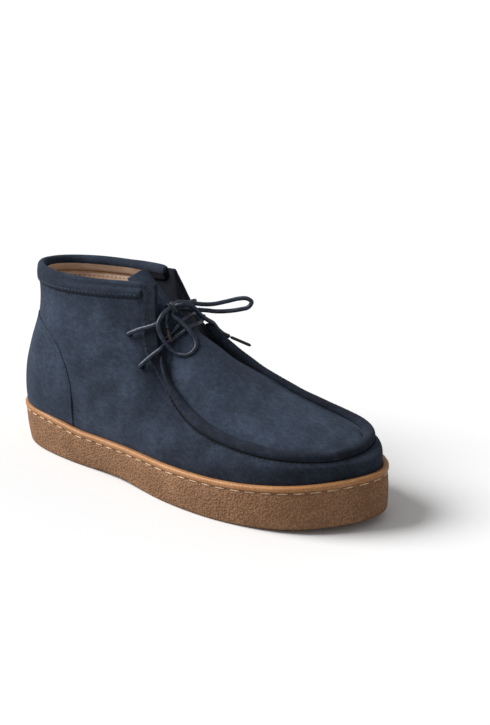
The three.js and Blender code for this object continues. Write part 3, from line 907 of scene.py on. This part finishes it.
class Finish(Enum):
    """Every finish of the boot, with the record's slot that it belongs to."""

    SUEDE = (Suede(), "suede")
    # The wall's suede, painted darker towards the toe as shade under the apron's roll.
    WALL_SUEDE = (Suede("toe_shaded_suede", shaded_to_toe=True), "suede")
    # A darker copy of the suede: on the apron's roll its darkness is painted shade. The facing strips wear it
    # too.
    ROLL_SUEDE = (Suede("roll_suede", (19, 24, 33), (30, 36, 48), (49, 57, 71)), "suede")
    COLLAR_SUEDE = (Suede("collar_suede", (31, 38, 49), (43, 52, 66), (60, 70, 86)), "suede")
    # Near-black suede, painted shade: for the throat's inside, the top rows under the roll, the hole rims and
    # the collar's inner front corner.
    PAINTED_SHADE_SUEDE = (Suede("shaded_suede", (10, 12, 18), (16, 19, 27), (24, 28, 38)), "suede")
    LINING = (Leather(), "lining")
    CREPE = (Crepe("crepe_side", (188, 143, 106), (142, 102, 72), 1.45, 0.6), "crepe")
    BAND = (Crepe("crepe_band", (212, 158, 108), (180, 124, 78), 0.9, 0.1, 0.42), "crepe")
    THREAD_LIGHT = (Plain("pale_thread", (255, 218, 180)), "crepe")
    THREAD_NAVY = (Plain("seam_thread", (112, 122, 140)), "suede")
    THREAD_DARK = (Plain("navy_thread", (24, 27, 38)), "suede")
    THREAD_TAN = (Plain("tan_thread", (178, 142, 112)), "lining")
    CORD = (Cord(), "lace")
    TIP = (Plain("brown_tip", (72, 60, 52), 0.4), "aglet")

    @property
    def slot(self) -> str:
        """The record's material slot."""
        return self.value[1]


_MADE: dict[Finish, bpy.types.Material] = {}


def dress(piece: bpy.types.Object, *finishes: Finish, replaces: Sequence[str] = ()) -> bpy.types.Object:
    """Gives a piece its finishes, its body and the nodes that it stands for.

    Args:
        piece: the new piece.
        finishes: its materials in the order of its faces' numbers.
        replaces: the frame's nodes that it stands for.

    Returns:
        The piece.
    """
    for finish in finishes:
        if finish not in _MADE:
            _MADE[finish] = finish.value[0].make()
        piece.data.materials.append(_MADE[finish])
    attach(piece, BODY)
    if replaces:
        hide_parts(*replaces)
    LOG.info("%s: %d faces", piece.name, len(piece.data.polygons))
    return piece


# ---------- the studio ----------
@dataclass
class Studio:
    """The camera, the lights and the floor."""

    target: tuple[float, float, float] = (14.16, 41.28, 71.17)
    azimuth: float = 38.0
    elevation: float = 18.5
    distance: float = 900.0
    lens: float = 64.37
    room: float = 0.32
    floor_size: float = 60000.0
    floor_bounce: tuple[float, float, float, float] = (0.45, 0.45, 0.45, 1)

    def camera(self) -> None:
        """A level camera at the boot's outer front side."""
        turn, rise = math.radians(self.azimuth), math.radians(self.elevation)
        back = Vector((math.sin(turn) * math.cos(rise), -math.cos(turn) * math.cos(rise), math.sin(rise)))
        data = bpy.data.cameras.new("camera")
        data.lens = self.lens
        data.clip_start = 0.05
        data.clip_end = 50
        camera = add_object("camera", data)
        camera.location = (Vector(self.target) + back * self.distance) * MM
        camera.rotation_euler = back.to_track_quat("Z", "Y").to_euler()
        bpy.context.scene.camera = camera

    def sun(self, name: str, toward: tuple[float, float, float], spread: float, strength: float) -> None:
        """A wide soft light from far away.

        Args:
            name: its name.
            toward: the direction in which it stands.
            spread: the angle that it fills, in degrees.
            strength: its power in watts a square metre.
        """
        data = bpy.data.lights.new(name, "SUN")
        data.energy = strength
        data.angle = math.radians(spread)
        add_object(name, data).rotation_euler = Vector(toward).to_track_quat("Z", "Y").to_euler()

    def light(self) -> None:
        """A pale room with a wide soft light high on the outer side, towards the heel."""
        world = bpy.data.worlds.new("room")
        bpy.context.scene.world = world
        world.use_nodes = True
        nodes, links = world.node_tree.nodes, world.node_tree.links
        seen = nodes.new("ShaderNodeLightPath").outputs["Is Camera Ray"]
        brightness = nodes.new("ShaderNodeMapRange")
        brightness.inputs["To Min"].default_value = self.room
        links.new(seen, brightness.inputs["Value"])
        links.new(brightness.outputs["Result"], nodes["Background"].inputs["Strength"])
        nodes["Background"].inputs["Color"].default_value = (1, 1, 1, 1)
        self.sun("key", (-0.95, -0.62, 1.0), 35, 3.45)
        bpy.context.scene.view_settings.view_transform = "Standard"

    def floor(self) -> None:
        """A wide plain floor."""
        mesh = bmesh.new()
        bmesh.ops.create_grid(mesh, x_segments=1, y_segments=1, size=self.floor_size / 2 * MM)
        floor = link(mesh, "floor")
        r = Recipe("floor_white", 0.9, 0.0)
        seen = r.node("LightPath", {}).outputs["Is Camera Ray"]
        floor.data.materials.append(r.done(r.mix(seen, self.floor_bounce, (0.98, 0.98, 0.98, 1))))


# ---------- the lace ----------
@dataclass
class Lacing:
    """The lace: held strands, a knot, two loops and two ends with tips."""

    tip_width: float = 2.2
    tip_lap: float = 0.4
    near_tip: float = 9.5
    far_tip: float = 16.0
    knot_turns: float = 2.25
    knot_wide: float = 3.3
    knot_thick: float = 2.2
    knot_long: float = 5.0
    sunk: float = 1.6

    def strand(self, name: str, rows: Sequence[Sequence[float]], node: str, steps: int) -> tuple:
        """A cord that stands for one node."""
        piece, path = tube(name, smooth_path(rows), LACE / 2, steps)
        return dress(piece, Finish.CORD, replaces=[node]), path

    def tip(self, name: str, rows: Sequence[Sequence[float]], long: float) -> bpy.types.Object:
        """The tip that carries on straight from a strand's end."""
        ends = smooth_path(rows)(np.array([0.98, 1.0]))
        along = unit(ends[1] - ends[0])
        line = smooth_path([ends[1] + along * reach for reach in (-self.tip_lap, long / 2, long + GAP)])
        piece, _ = tube(name, line, self.tip_width / 2, 16)
        return dress(piece, Finish.TIP, replaces=[name])

    def free(self, piece: bpy.types.Object, path: Array, far_end: str, tips: Sequence = ()) -> None:
        """Does nothing: the free cord, its path, its far end and its tips are not used."""

    def knot(self) -> None:
        """The wraps of the bow's middle, round the line from the outer side to the inner side."""
        out = unit(KNOT_AXIS)
        along = unit(np.array([0.0, 1.0, 0.0]) - out * out[1])
        wide = np.cross(out, along)

        def coil(share: Array) -> Array:
            """A place on the wraps."""
            angle = share[:, None] * self.knot_turns * 2 * math.pi - math.pi / 3
            ring = wide * self.knot_wide * np.cos(angle) + out * self.knot_thick * np.sin(angle)
            slant = 0.25 * np.cos(angle)
            return KNOT_MIDDLE + ring + along * ((share[:, None] - 0.5 + slant * 0.5) * self.knot_long)

        piece, _ = tube("lace_wraps", coil, LACE / 2 * 0.95, 90)
        dress(piece, Finish.CORD, replaces=["lace_knot"])

    def into(self, hole: str) -> Array:
        """The place under a hole where a strand goes on out of sight."""
        point, normal = hole_at(hole)
        return point - normal * self.sunk

    def build(self) -> None:
        """Makes every piece of the lace."""
        bar = [self.into("outer_low"), *BAR_ROUTE, self.into("inner_low")]
        outer = [self.into("outer_top"), *OUTER_ROUTE, (-11.4, -9, 115)]
        inner = [self.into("inner_top"), *INNER_ROUTE, (-11.4, -1.5, 116.8)]
        near = [(-9.4, -7.2, 115), *NEAR_LOOP_ROUTE, (-10.4, -8, 117.4)]
        far = [(-11.4, -3.6, 118), *FAR_LOOP_ROUTE, (-10.4, -1.5, 115.4)]
        self.strand("lace_bar_cord", bar, "lace_bar", 100)
        self.strand("lace_cross_cord", CROSS_ROUTE, "lace_cross", 44)
        self.strand("lace_outer_cord", outer, "lace_strand_outer", 50)
        self.strand("lace_inner_cord", inner, "lace_strand_inner", 54)
        self.free(*self.strand("lace_near_loop_cord", near, "lace_loop_near", 150), "knot")
        self.free(*self.strand("lace_far_loop_cord", far, "lace_loop_far", 150), "knot")
        self.strand("lace_near_end_cord", [(-10.6, -8.5, 115), *NEAR_END_ROUTE], "lace_end_near", 24)
        self.tip("aglet_near", NEAR_END_ROUTE, self.near_tip)
        end, path = self.strand("lace_far_end_cord", [(-9.6, -4.6, 118), *FAR_END_ROUTE], "lace_end_far", 90)
        self.free(end, path, "fitting", [self.tip("aglet_far", FAR_END_ROUTE, self.far_tip)])
        self.knot()


# ---------- the sole ----------
@dataclass
class CupSole:
    """The crepe cup: a pebbled side, a smooth rim band and a stitched groove under it."""

    around: int = 400
    groove_drop: float = 0.8
    groove_depth: float = 0.6
    tread_pitch: float = 12.0
    tread_depth: float = 0.9

    def rows(self, x: Array) -> list[tuple[Array, Array]]:
        """The cup's section as insets and heights, from under the foot, over the rim and back inside.

        Args:
            x: the place along the boot of every column.

        Returns:
            One pair for each row of the grid.
        """
        tuck = SOLE_TUCK * (1 - smooth(70, 140, x)) + ARCH_TUCK * archness(x)
        under = lift(x) + ARCH_LIFT * archness(x)
        rim = rim_height(x)
        band = rim - BEAD_HEIGHT
        tread = self.tread_depth * smooth(0.55, 0.9, np.sin(x * 2 * math.pi / self.tread_pitch))
        rows = [(tuck + depth, under + tread) for depth in (20, 14, 9, 5)]
        rows += [(tuck + inset, under + over) for inset, over in ((2.4, 0), (1.0, 0.25), (0.3, 0.9), (0, 2))]
        groove = band - self.groove_drop
        for share in np.linspace(0.12, 0.9, 8):
            swell = 0.5 * math.sin(math.pi * share)
            inset = tuck + (BEAD_PROUD - tuck) * share - swell
            rows.append((inset, under + 2 + (groove - under - 2) * share))
        for inset, height, over in (
            (BEAD_PROUD + 0.2, groove, -0.8),
            (BEAD_PROUD + self.groove_depth, groove, 0),
            (BEAD_PROUD + 0.4, groove, 0.7),
            (0.5, band, 0.1),
            (0.1, band, 0.5),
            (0, band, 1.1),
            (-0.1, band, 1.8),
            (0, rim, -1.1),
            (0.35, rim, -0.4),
            (1.1, rim, 0),
            (CUP_WALL - 0.7, rim, -0.1),
            (CUP_WALL, rim, -0.8),
            (CUP_WALL, floor_height(x), 0),
            (CUP_WALL + 9, floor_height(x), 0),
        ):
            rows.append((np.full_like(x, inset), height + over))
        return rows

    def build(self) -> None:
        """The cup and its rim stitches."""
        stations = np.linspace(0, STATIONS, self.around + 1)
        rim, _ = outline(stations, np.zeros_like(stations))
        mirrored, _ = outline(STATIONS - stations, np.zeros_like(stations))
        spine = (rim + mirrored) / 2
        rise = [0, 0, 1]
        rows = self.rows(rim[:, 0])
        sections = [outline(stations, inset)[0] + np.outer(height, rise) for inset, height in rows]
        under = lift(spine[:, 0]) + ARCH_LIFT * archness(spine[:, 0])
        first = spine + np.outer(under, rise)
        last = spine + np.outer(floor_height(spine[:, 0]), rise)
        grid = np.array([first, *sections, last])
        band_from, band_to = len(grid) - 13, len(grid) - 4

        def parts(_: Array, v: Array) -> Array:
            """Number 1 for the smooth rim band."""
            row = v * (len(grid) - 1)
            return ((row > band_from) & (row < band_to)).astype(int)

        cup = surface("cup_sole", (self.around, len(grid) - 1), on_grid(grid), parts)
        dress(cup, Finish.CREPE, Finish.BAND, replaces=["cupsole"])

        run = np.linspace(0, STATIONS, 1200)
        seam, out = outline(run, np.full_like(run, BEAD_PROUD + self.groove_depth))
        seam[:, 2] = rim_height(seam[:, 0]) - BEAD_HEIGHT - self.groove_drop
        stitch = Stitch(length=8.4, air=1.8, width=1.2, sunk=-0.3)
        dress(stitch.sew("rim_stitches", [(seam, out)]), Finish.THREAD_LIGHT)


# ---------- the upper ----------
# Each is drawn as (x, z) points on the side of the boot.
FACING_OUTER = [
    (-26.5, 133), (-24.8, 126), (-23, 116), (-19.4, 97.6), (-15.2, 89), (-9, 81), (-3.3, 74),
    (5, 66.4), (16, 58.5),
]
FACING_INNER = [(-37, 135), (-34.5, 127), (-29, 113), (-20, 98.5), (-6.5, 88.5), (8, 79), (22, 71.5)]
COUNTER_SEAM = [
    (-74.5, 46), (-76.2, 58), (-82, 70), (-90, 80.5), (-101, 89), (-118, 94.6), (-140, 97), (-165, 98.5),
]
# The soft creases of the wall: the middle (x, z), the slope, the depth, the width and the reach.
CREASES = (
    (-48, 74, 0.35, 0.9, 7, 26),
    (-40, 58, 0.5, 0.7, 6, 22),
    (-30, 44, 0.75, 0.6, 6, 20),
    (34, 42, 2.2, 0.55, 5, 14),
    (52, 42, 2.6, 0.6, 5, 14),
    (70, 41, 3.0, 0.45, 5, 12),
)


def ahead_of_curve(point: Array, rows: Sequence[tuple[float, float]]) -> Array:
    """How far a place lies in front of a curve drawn on the side, in millimetres along X."""
    drawn = np.array(sorted((height, x) for x, height in rows))
    return point[:, 0] - np.interp(point[:, 2], drawn[:, 0], drawn[:, 1])


def ahead_of_facing(point: Array, outer: Array) -> Array:
    """How far a place lies in front of its own side's facing edge."""
    return np.where(outer, ahead_of_curve(point, FACING_OUTER), ahead_of_curve(point, FACING_INNER))


@dataclass
class Upper:
    """The hollow suede wall with its facings, folds and lining."""

    column_step: float = 0.125
    face_rows: int = 46
    lining_rows: int = 26
    facing_proud: float = 0.85
    facing_lined: float = 11.5
    facing_lined_inner: float = 12.15
    dimple: float = 1.1
    gutter: float = 5.3
    gutter_rows: int = 5
    roll_shadow_end: float = 7.9
    seam_end: float = 8.2
    strip: float = 6.6
    strip_end: float = 8.6
    strip_proud: float = 0.4
    corner_from: float = 8.5
    corner_to: float = 12.8
    rim_share: float = 0.72
    rim_thick: float = 0.5
    rim_sunk: float = 0.35
    holes: list[Array] = field(default_factory=lambda: [hole_at(name)[0] for name in HOLES])

    def relief(self, station: Array, point: Array) -> Array:
        """How far the suede stands out at each place: facings, folds and soft unevenness."""
        outer = on_outer(station)
        front = ahead_of_facing(point, outer)
        proud = self.facing_proud * smooth(-0.3, 0.9, front) - 0.8 * np.exp(-(((front + 0.9) / 0.9) ** 2))
        toe = from_toe(station)
        proud = np.where((toe > 6.5) & (toe < 12.5), proud * smooth(6.5, 7.8, toe), 0)
        x, z = point[:, 0], point[:, 2]
        folds = np.zeros_like(x)
        for middle_x, middle_z, slope, depth, width, reach in CREASES:
            along = np.array([1.0, slope]) / math.hypot(1, slope)
            off = (x - middle_x) * -along[1] + (z - middle_z) * along[0]
            run = (x - middle_x) * along[0] + (z - middle_z) * along[1]
            trough = np.exp(-((off / width) ** 2)) - 0.7 * np.exp(-(((off - 1.7 * width) / width) ** 2))
            folds -= depth * trough * np.exp(-((run / reach) ** 2))
        low = smooth(28, 38, z)
        for middle in self.holes:
            distance = np.linalg.norm(point - middle, axis=1)
            folds -= self.dimple * np.exp(-((distance / HOLE_SIZE) ** 2))
        return proud + folds * low + 0.28 * ripple(point, 14, 5) * low

    def build(self) -> None:
        """The wall as one closed form, with suede outside and lining inside."""
        even = np.arange(0, STATIONS + self.column_step / 2, self.column_step)
        fine = np.arange(self.corner_from, self.corner_to, self.column_step / 2)
        fronts = [COLLAR_OUTER_FRONT - 0.04, COLLAR_OUTER_FRONT - 0.01]
        fronts += [COLLAR_INNER_FRONT + 0.01, COLLAR_INNER_FRONT + 0.04]
        stations = np.unique(np.concatenate([even, fine, STATIONS - fine, fronts]))
        top = top_level(stations)
        toe = from_toe(stations)
        reach = top_reach(stations)
        drops = self.gutter * (1 - np.linspace(0, 1, self.gutter_rows + 1))
        levels = [share * (top - self.gutter / reach) for share in np.linspace(0, 1, self.face_rows)]
        levels += [top - drop / reach for drop in drops[1:]]
        columns = []
        for level in levels:
            share = level / top
            point, _, _ = face(stations, level)
            ease = 0.5 * smooth(0.97, 1.0, share)
            proud = self.relief(stations, point) * smooth(0, 0.12, share)
            proud *= 1 - 0.5 * smooth(0.985, 1, share)
            on_strip = 1 - smooth(self.strip - 0.4, self.strip + 0.4, (1 - level) * reach)
            proud += self.strip_proud * on_strip * (toe < self.strip_end)
            columns.append(face(stations, level, proud - ease)[0])
        columns.append(face(stations, top, -WALL / 2)[0] + np.array([0, 0, 0.15]))
        split = len(columns)
        for share in np.linspace(1, 0, self.lining_rows):
            ease = 0.5 * smooth(0.97, 1.0, share)
            columns.append(face(stations, share * top, ease - WALL)[0])
        for inset, over in ((WALL, WALL), (LASTING, WALL), (LASTING, 0.0), (0.0, 0.0)):
            low, _ = outline(stations, np.full_like(stations, CUP_WALL + GAP + inset))
            low[:, 2] = floor_height(low[:, 0]) + GAP + over
            columns.append(low)
        columns.append(columns[0])
        grid = np.array(columns)

        def parts(u: Array, v: Array) -> Array:
            """1 for the lining; 2 for the throat's suede lining and the top rows under the roll, both in
            near-black suede as painted shade; 3 for the facing strips.
            """
            row = v * (len(grid) - 1)
            toe = from_toe(np.interp(u * (len(stations) - 1), np.arange(len(stations)), stations))
            inside = (row > split) & (row < len(grid) - 2)
            middle = grid[row.astype(int), (u * (len(stations) - 1)).astype(int)]
            outer = middle[:, 1] < 0
            front = ahead_of_facing(middle, outer)
            strip = (row < split) & (front > 0) & (toe > 7.5) & (toe < 12.5)
            # The throat's inner face is suede lining painted near black: painted shade.
            lined = np.where(toe < np.where(outer, self.facing_lined, self.facing_lined_inner), 2, 1)
            # Painted shadow: the top rows under the apron's roll, towards the toe, take the near-black suede.
            gutter = (row > self.face_rows - 1) & (row <= split) & (toe < self.roll_shadow_end)
            return np.where(inside, lined, np.where(gutter, 2, np.where(strip, 3, 0)))

        piece = surface("upper_wall", (len(stations) - 1, len(grid) - 1), on_grid(grid), parts)
        finishes = (Finish.WALL_SUEDE, Finish.LINING, Finish.PAINTED_SHADE_SUEDE, Finish.ROLL_SUEDE)
        dress(piece, *finishes, replaces=["upper"])
        self.punched()
        self.seams()

    def punched(self) -> None:
        """The rims of the punched lace holes, in near-black suede as painted shade round each hole."""
        for name in HOLES:
            middle, out = hole_at(name)
            side = unit(np.cross(out, [0.0, 0.0, 1.0]))
            up = np.cross(side, out)
            middle = middle - out * self.rim_sunk

            def place(u: Array, v: Array) -> Array:
                """A place on the rim."""
                turn, roll = u * 2 * math.pi, v * 2 * math.pi
                reach = (HOLE_SIZE * self.rim_share + self.rim_thick * np.cos(roll))[:, None]
                ring = side * np.cos(turn)[:, None] + up * np.sin(turn)[:, None]
                return middle + ring * reach + out * (self.rim_thick * np.sin(roll))[:, None]

            dress(surface("hole_rim_" + name, (28, 8), place), Finish.PAINTED_SHADE_SUEDE)

    def seams(self) -> None:
        """The dark stitches beside the facings and under the apron's roll."""
        rows = [
            side_seam([(x + 1.5, z) for x, z in FACING_OUTER[:-1]], True, 160, self.facing_proud),
            side_seam([(x + 1.5, z) for x, z in FACING_INNER[:-1]], False, 160, self.facing_proud),
        ]
        for first in (0.0, STATIONS - self.seam_end):
            station = np.linspace(first, first + self.seam_end, 500)
            point, normal, _ = face(station, 1 - (self.strip - 1.1) / top_reach(station), self.strip_proud)
            rows.append((point, normal))
        dress(Stitch(2.3, 1.2, 0.7, 0.1).sew("upper_stitches", rows), Finish.THREAD_DARK)


@dataclass
class HeelCounter:
    """The overlay round the heel, with a rolled edge and a stitched seam."""

    across: int = 220
    up: int = 44
    edge: float = 22.0
    skived: float = 0.6
    flush: float = 0.12
    seam_proud: float = 0.3
    seam_level: float = 0.96
    seam_inset: float = 0.012
    length: float = 190.0
    height: float = 70.0

    def top_height(self, x: Array) -> Array:
        """The seam's height at a place along the boot."""
        drawn = np.array(sorted(COUNTER_SEAM))
        return np.interp(x, drawn[:, 0], drawn[:, 1])

    def build(self) -> None:
        """The overlay and its stitches."""
        front = COUNTER_SEAM[0][0]

        def lay(u: Array, v: Array) -> tuple[Array, Array]:
            """Stations and heights for shares round the heel and up from the rim."""
            height = np.full_like(u, 60.0)
            station = np.full_like(u, HEEL)
            for _ in range(5):
                fronts = [station_at(np.full_like(u, front), height, outer) for outer in (True, False)]
                station = fronts[0] + (fronts[1] - fronts[0]) * u
                x = bezier(controls(station), level_at(station, height))[:, 0]
                rim = rim_height(x) - 1.0
                height = rim + (self.top_height(np.minimum(x, front)) - rim) * v
            return station, height

        def place(u: Array, v: Array) -> Array:
            """A place on the overlay."""
            station, height = lay(u, v)
            point, _, _ = face(station, level_at(station, height))
            near = np.minimum(np.minimum(u, 1 - u) * self.length, (1 - v) * self.height)
            proud = self.flush + (GAP + COUNTER_PROUD - self.flush) * smooth(0, self.edge, near)
            soft = 0.25 * ripple(point, 15, 11) - 0.12 * np.exp(-((near - 2.2) / 0.8) ** 2)
            return face(station, level_at(station, height), proud + soft)[0]

        piece = surface("heel_overlay", (self.across, self.up), place, outward=False)
        thicken(piece, self.skived, even=False)
        dress(piece, Finish.SUEDE, replaces=["heel_counter"])

        line = np.linspace(self.seam_inset, 1 - self.seam_inset, 400)
        station, height = lay(line, np.full_like(line, self.seam_level))
        point, normal, _ = face(station, level_at(station, height), self.seam_proud)
        dress(Stitch(1.6, 1.7, 0.75, 0.0).sew("counter_stitches", [(point, normal)]), Finish.THREAD_DARK)


@dataclass
class ApronTongue:
    """The apron, which runs on up as a tongue folded along its crest."""

    along: int = 190
    across: int = 72
    gutter: float = 2.6
    gutter_width: float = 3.2
    gutter_from: float = 12.5
    gutter_to: float = 15.5
    pressed: float = 1.9

    def build(self) -> None:
        """The sheet with its soft folds."""
        last_row = APRON_COUNT - 1

        def place(u: Array, v: Array) -> Array:
            """A place on the sheet."""
            row = u * last_row
            point = apron(row, v)
            step = 1e-3
            a = apron(np.clip(row + step, 0, last_row), v) - apron(np.clip(row - step, 0, last_row), v)
            b = apron(row, np.clip(v + step, 0, 1)) - apron(row, np.clip(v - step, 0, 1))
            normal = unit(np.cross(b, a))
            normal *= np.where(normal[:, 2:] < 0, -1, 1)
            span = np.linalg.norm(apron(row, np.ones_like(v)) - apron(row, np.zeros_like(v)), axis=1)
            edge = np.minimum(v, 1 - v) * span
            soft = 0.3 * ripple(point, 12, 3) + 0.35 * ripple(point * np.array([1, 0.4, 1]), 22, 9)
            gutter = self.gutter * np.exp(-(((edge - RIDGE_HALF) / self.gutter_width) ** 2))
            gutter *= 1 - smooth(self.gutter_from, self.gutter_to, row)
            back = np.array([-0.7, 0, -0.7]) * (self.pressed * (1 - smooth(-2, 18, point[:, 0])))[:, None]
            return point + back + normal * (soft * smooth(3, 9, edge) - gutter)[:, None]

        piece = surface("apron_sheet", (self.along, self.across), place, outward=False)
        thicken(piece, SHEET)
        dress(piece, Finish.SUEDE, replaces=["apron_tongue"])


@dataclass
class ApronRidge:
    """The rolled seam round the apron."""

    along: int = 420
    around: int = 20
    inner_end: float = 8.5
    outer_end: float = 9.2
    boxy: float = 0.85
    gather: float = 0.008
    gather_step: float = 3.1

    def build(self) -> None:
        """The roll, with the fine gathers of its stitches."""
        stations = np.linspace(-self.inner_end, self.outer_end, self.along + 1)
        seam, normal, up = face(stations, np.full_like(stations, 1 - 1e-3))
        run = distances(seam)
        height = np.maximum(ridge_height(stations), 1.6) + RIDGE_OVER
        half = RIDGE_HALF * (1 - 0.3 * smooth(6.5, 8.5, from_toe(stations)))
        taper = rounded(from_ends(self.along) / 5)
        wave = np.sin(run * 2 * math.pi / self.gather_step)
        gather = 1 + self.gather * wave + 0.04 * ripple(seam, 9, 21)

        def place(u: Array, v: Array) -> Array:
            """A place on the roll."""
            i = np.rint(u * self.along).astype(int)
            angle = v * 2 * math.pi
            c, s = np.cos(angle), np.sin(angle)
            side = half[i] * taper[i] * np.sign(c) * np.abs(c) ** self.boxy
            crown = (height[i] * gather[i] - RIDGE_MIDDLE) * np.abs(s) ** self.boxy
            over = RIDGE_MIDDLE + np.where(s > 0, crown, RIDGE_SUNK * s)
            return seam[i] + up[i] * side[:, None] + normal[i] * (over * taper[i])[:, None]

        piece = surface("apron_roll", (self.along, self.around), place)
        # The roll's suede is a darker copy, painted shade of the rolled seam.
        dress(piece, Finish.ROLL_SUEDE, replaces=["apron_ridge"])


@dataclass
class Collar:
    """The padded roll round the ankle, with the band sewn under it."""

    along: int = 260
    around: int = 39
    lap: float = 0.05
    lining_from: float = 9.2 / 13
    lining_to: float = 12 / 13
    lining_end: float = 19.85
    slim: float = 0.8
    sag: float = 1.0
    front_sag: float = 2.3
    blunt: float = 1.5

    def build(self) -> None:
        """The collar, its seam and the lining's seam."""
        first, last = COLLAR_OUTER_FRONT - self.lap, COLLAR_INNER_FRONT + 3 * self.lap
        stations = np.linspace(first, last, self.along + 1)
        level = collar_level(stations)
        foot, normal, up = face(stations, level)
        _, out = outline(stations, np.zeros_like(stations))
        crest = controls(stations)[:, 3]
        rise = np.array([0, 0, 1.0])
        puff = 1 + 0.05 * ripple(crest, 10, 31)
        sag = (self.sag + self.front_sag * (1 - smooth(COLLAR_OUTER_FRONT, 15.0, stations)))[:, None]

        def edge(along: float, offset: float) -> Array:
            """A place beside the seam's foot."""
            return foot + up * along + normal * offset

        rows = [edge(-0.8, 0.1), edge(0, 1.1), edge(COLLAR_DROP * 0.42, 1.2)]
        for degrees in (0, 34, 68, 100, 132, 164, 196):
            angle = math.radians(degrees)
            reach = (COLLAR_ROLL * puff)[:, None]
            inward = out * reach * self.slim * (math.cos(angle) - 1)
            rows.append(crest + inward + rise * (reach * math.sin(angle) - sag))
        rows += [edge(COLLAR_DROP * 0.45, -WALL - 2.6), edge(GAP + 0.4, -WALL - 1.2), edge(GAP, -WALL + 0.4)]
        section = np.array(rows)
        ends = from_ends(self.along)
        blunt = np.where(stations < HEEL, self.blunt, self.blunt * 2)
        narrowed = 0.14 * blunt / self.blunt * np.exp(-ends / blunt)
        taper = np.where(ends > 0, 1 - narrowed, 0)
        middle = section.mean(axis=0)
        shares = np.linspace(0, 1, self.around + 1)
        loops = np.array([smooth_path(section[:, i], closed=True)(shares) for i in range(self.along + 1)])
        loops = middle[:, None] + (loops - middle[:, None]) * taper[:, None, None]

        def parts(u: Array, v: Array) -> Array:
            """Number 1 for the lining side and 2 for the suede inside the front corner, painted near black as
            shade.
            """
            station = stations[np.minimum((u * self.along).astype(int), self.along)]
            lined = (station > COLLAR_OUTER_FRONT + 0.3) & (station < self.lining_end)
            return np.where((v > self.lining_from) & (v < self.lining_to), np.where(lined, 1, 2), 0)

        piece = surface("collar_roll", (self.along, self.around), on_grid(loops.swapaxes(0, 1)), parts)
        dress(piece, Finish.COLLAR_SUEDE, Finish.LINING, Finish.PAINTED_SHADE_SUEDE, replaces=["collar"])

        line = np.linspace(COLLAR_OUTER_FRONT + 0.05, COLLAR_INNER_FRONT - 0.05, 600)
        seam, outward, _ = face(line, collar_level(line) + 1.5 / top_reach(line), 1.15)
        dress(Stitch(2.2, 0.9, 0.7, 0.1).sew("collar_stitches", [(seam, outward)]), Finish.THREAD_NAVY)
        # Painted shadow: a near-unbroken line of dark thread beads under the band's lower edge stands in for
        # the shadow there.
        under, outward, _ = face(line, collar_level(line) - 0.9 / top_reach(line), 0.1)
        dress(Stitch(3.2, 0.12, 1.1, 0.0).sew("collar_shadow_line", [(under, outward)]), Finish.THREAD_DARK)
        line = np.linspace(COLLAR_OUTER_FRONT + 0.35, self.lining_end - 0.05, 500)
        inside, outward, _ = face(line, collar_level(line) - 0.03, -WALL - 0.05)
        dress(Stitch(2.4, 1.2, 0.7).sew("lining_stitches", [(inside, -outward)]), Finish.THREAD_TAN)


def dress_insole(frame: dict) -> None:
    """Gives the insole its leather."""
    insole = frame["nodes"]["insole"]
    insole.data.materials.clear()
    insole.data.materials.append(_MADE[Finish.LINING])


def corners(bounds: Sequence) -> list[list[float]]:
    """A box as plain lists of numbers."""
    return [[float(c) for c in corner] for corner in bounds]


def main() -> None:
    """Builds the boot's pieces in order."""
    logging.basicConfig(level=logging.INFO, format="%(name)s: %(message)s")
    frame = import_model()
    studio = Studio()
    studio.camera()
    Lacing().build()
    studio.light()
    studio.floor()
    for part in (CupSole(), Upper(), HeelCounter(), ApronTongue(), ApronRidge(), Collar()):
        part.build()
    dress_insole(frame)


if __name__ == "__main__":
    main()
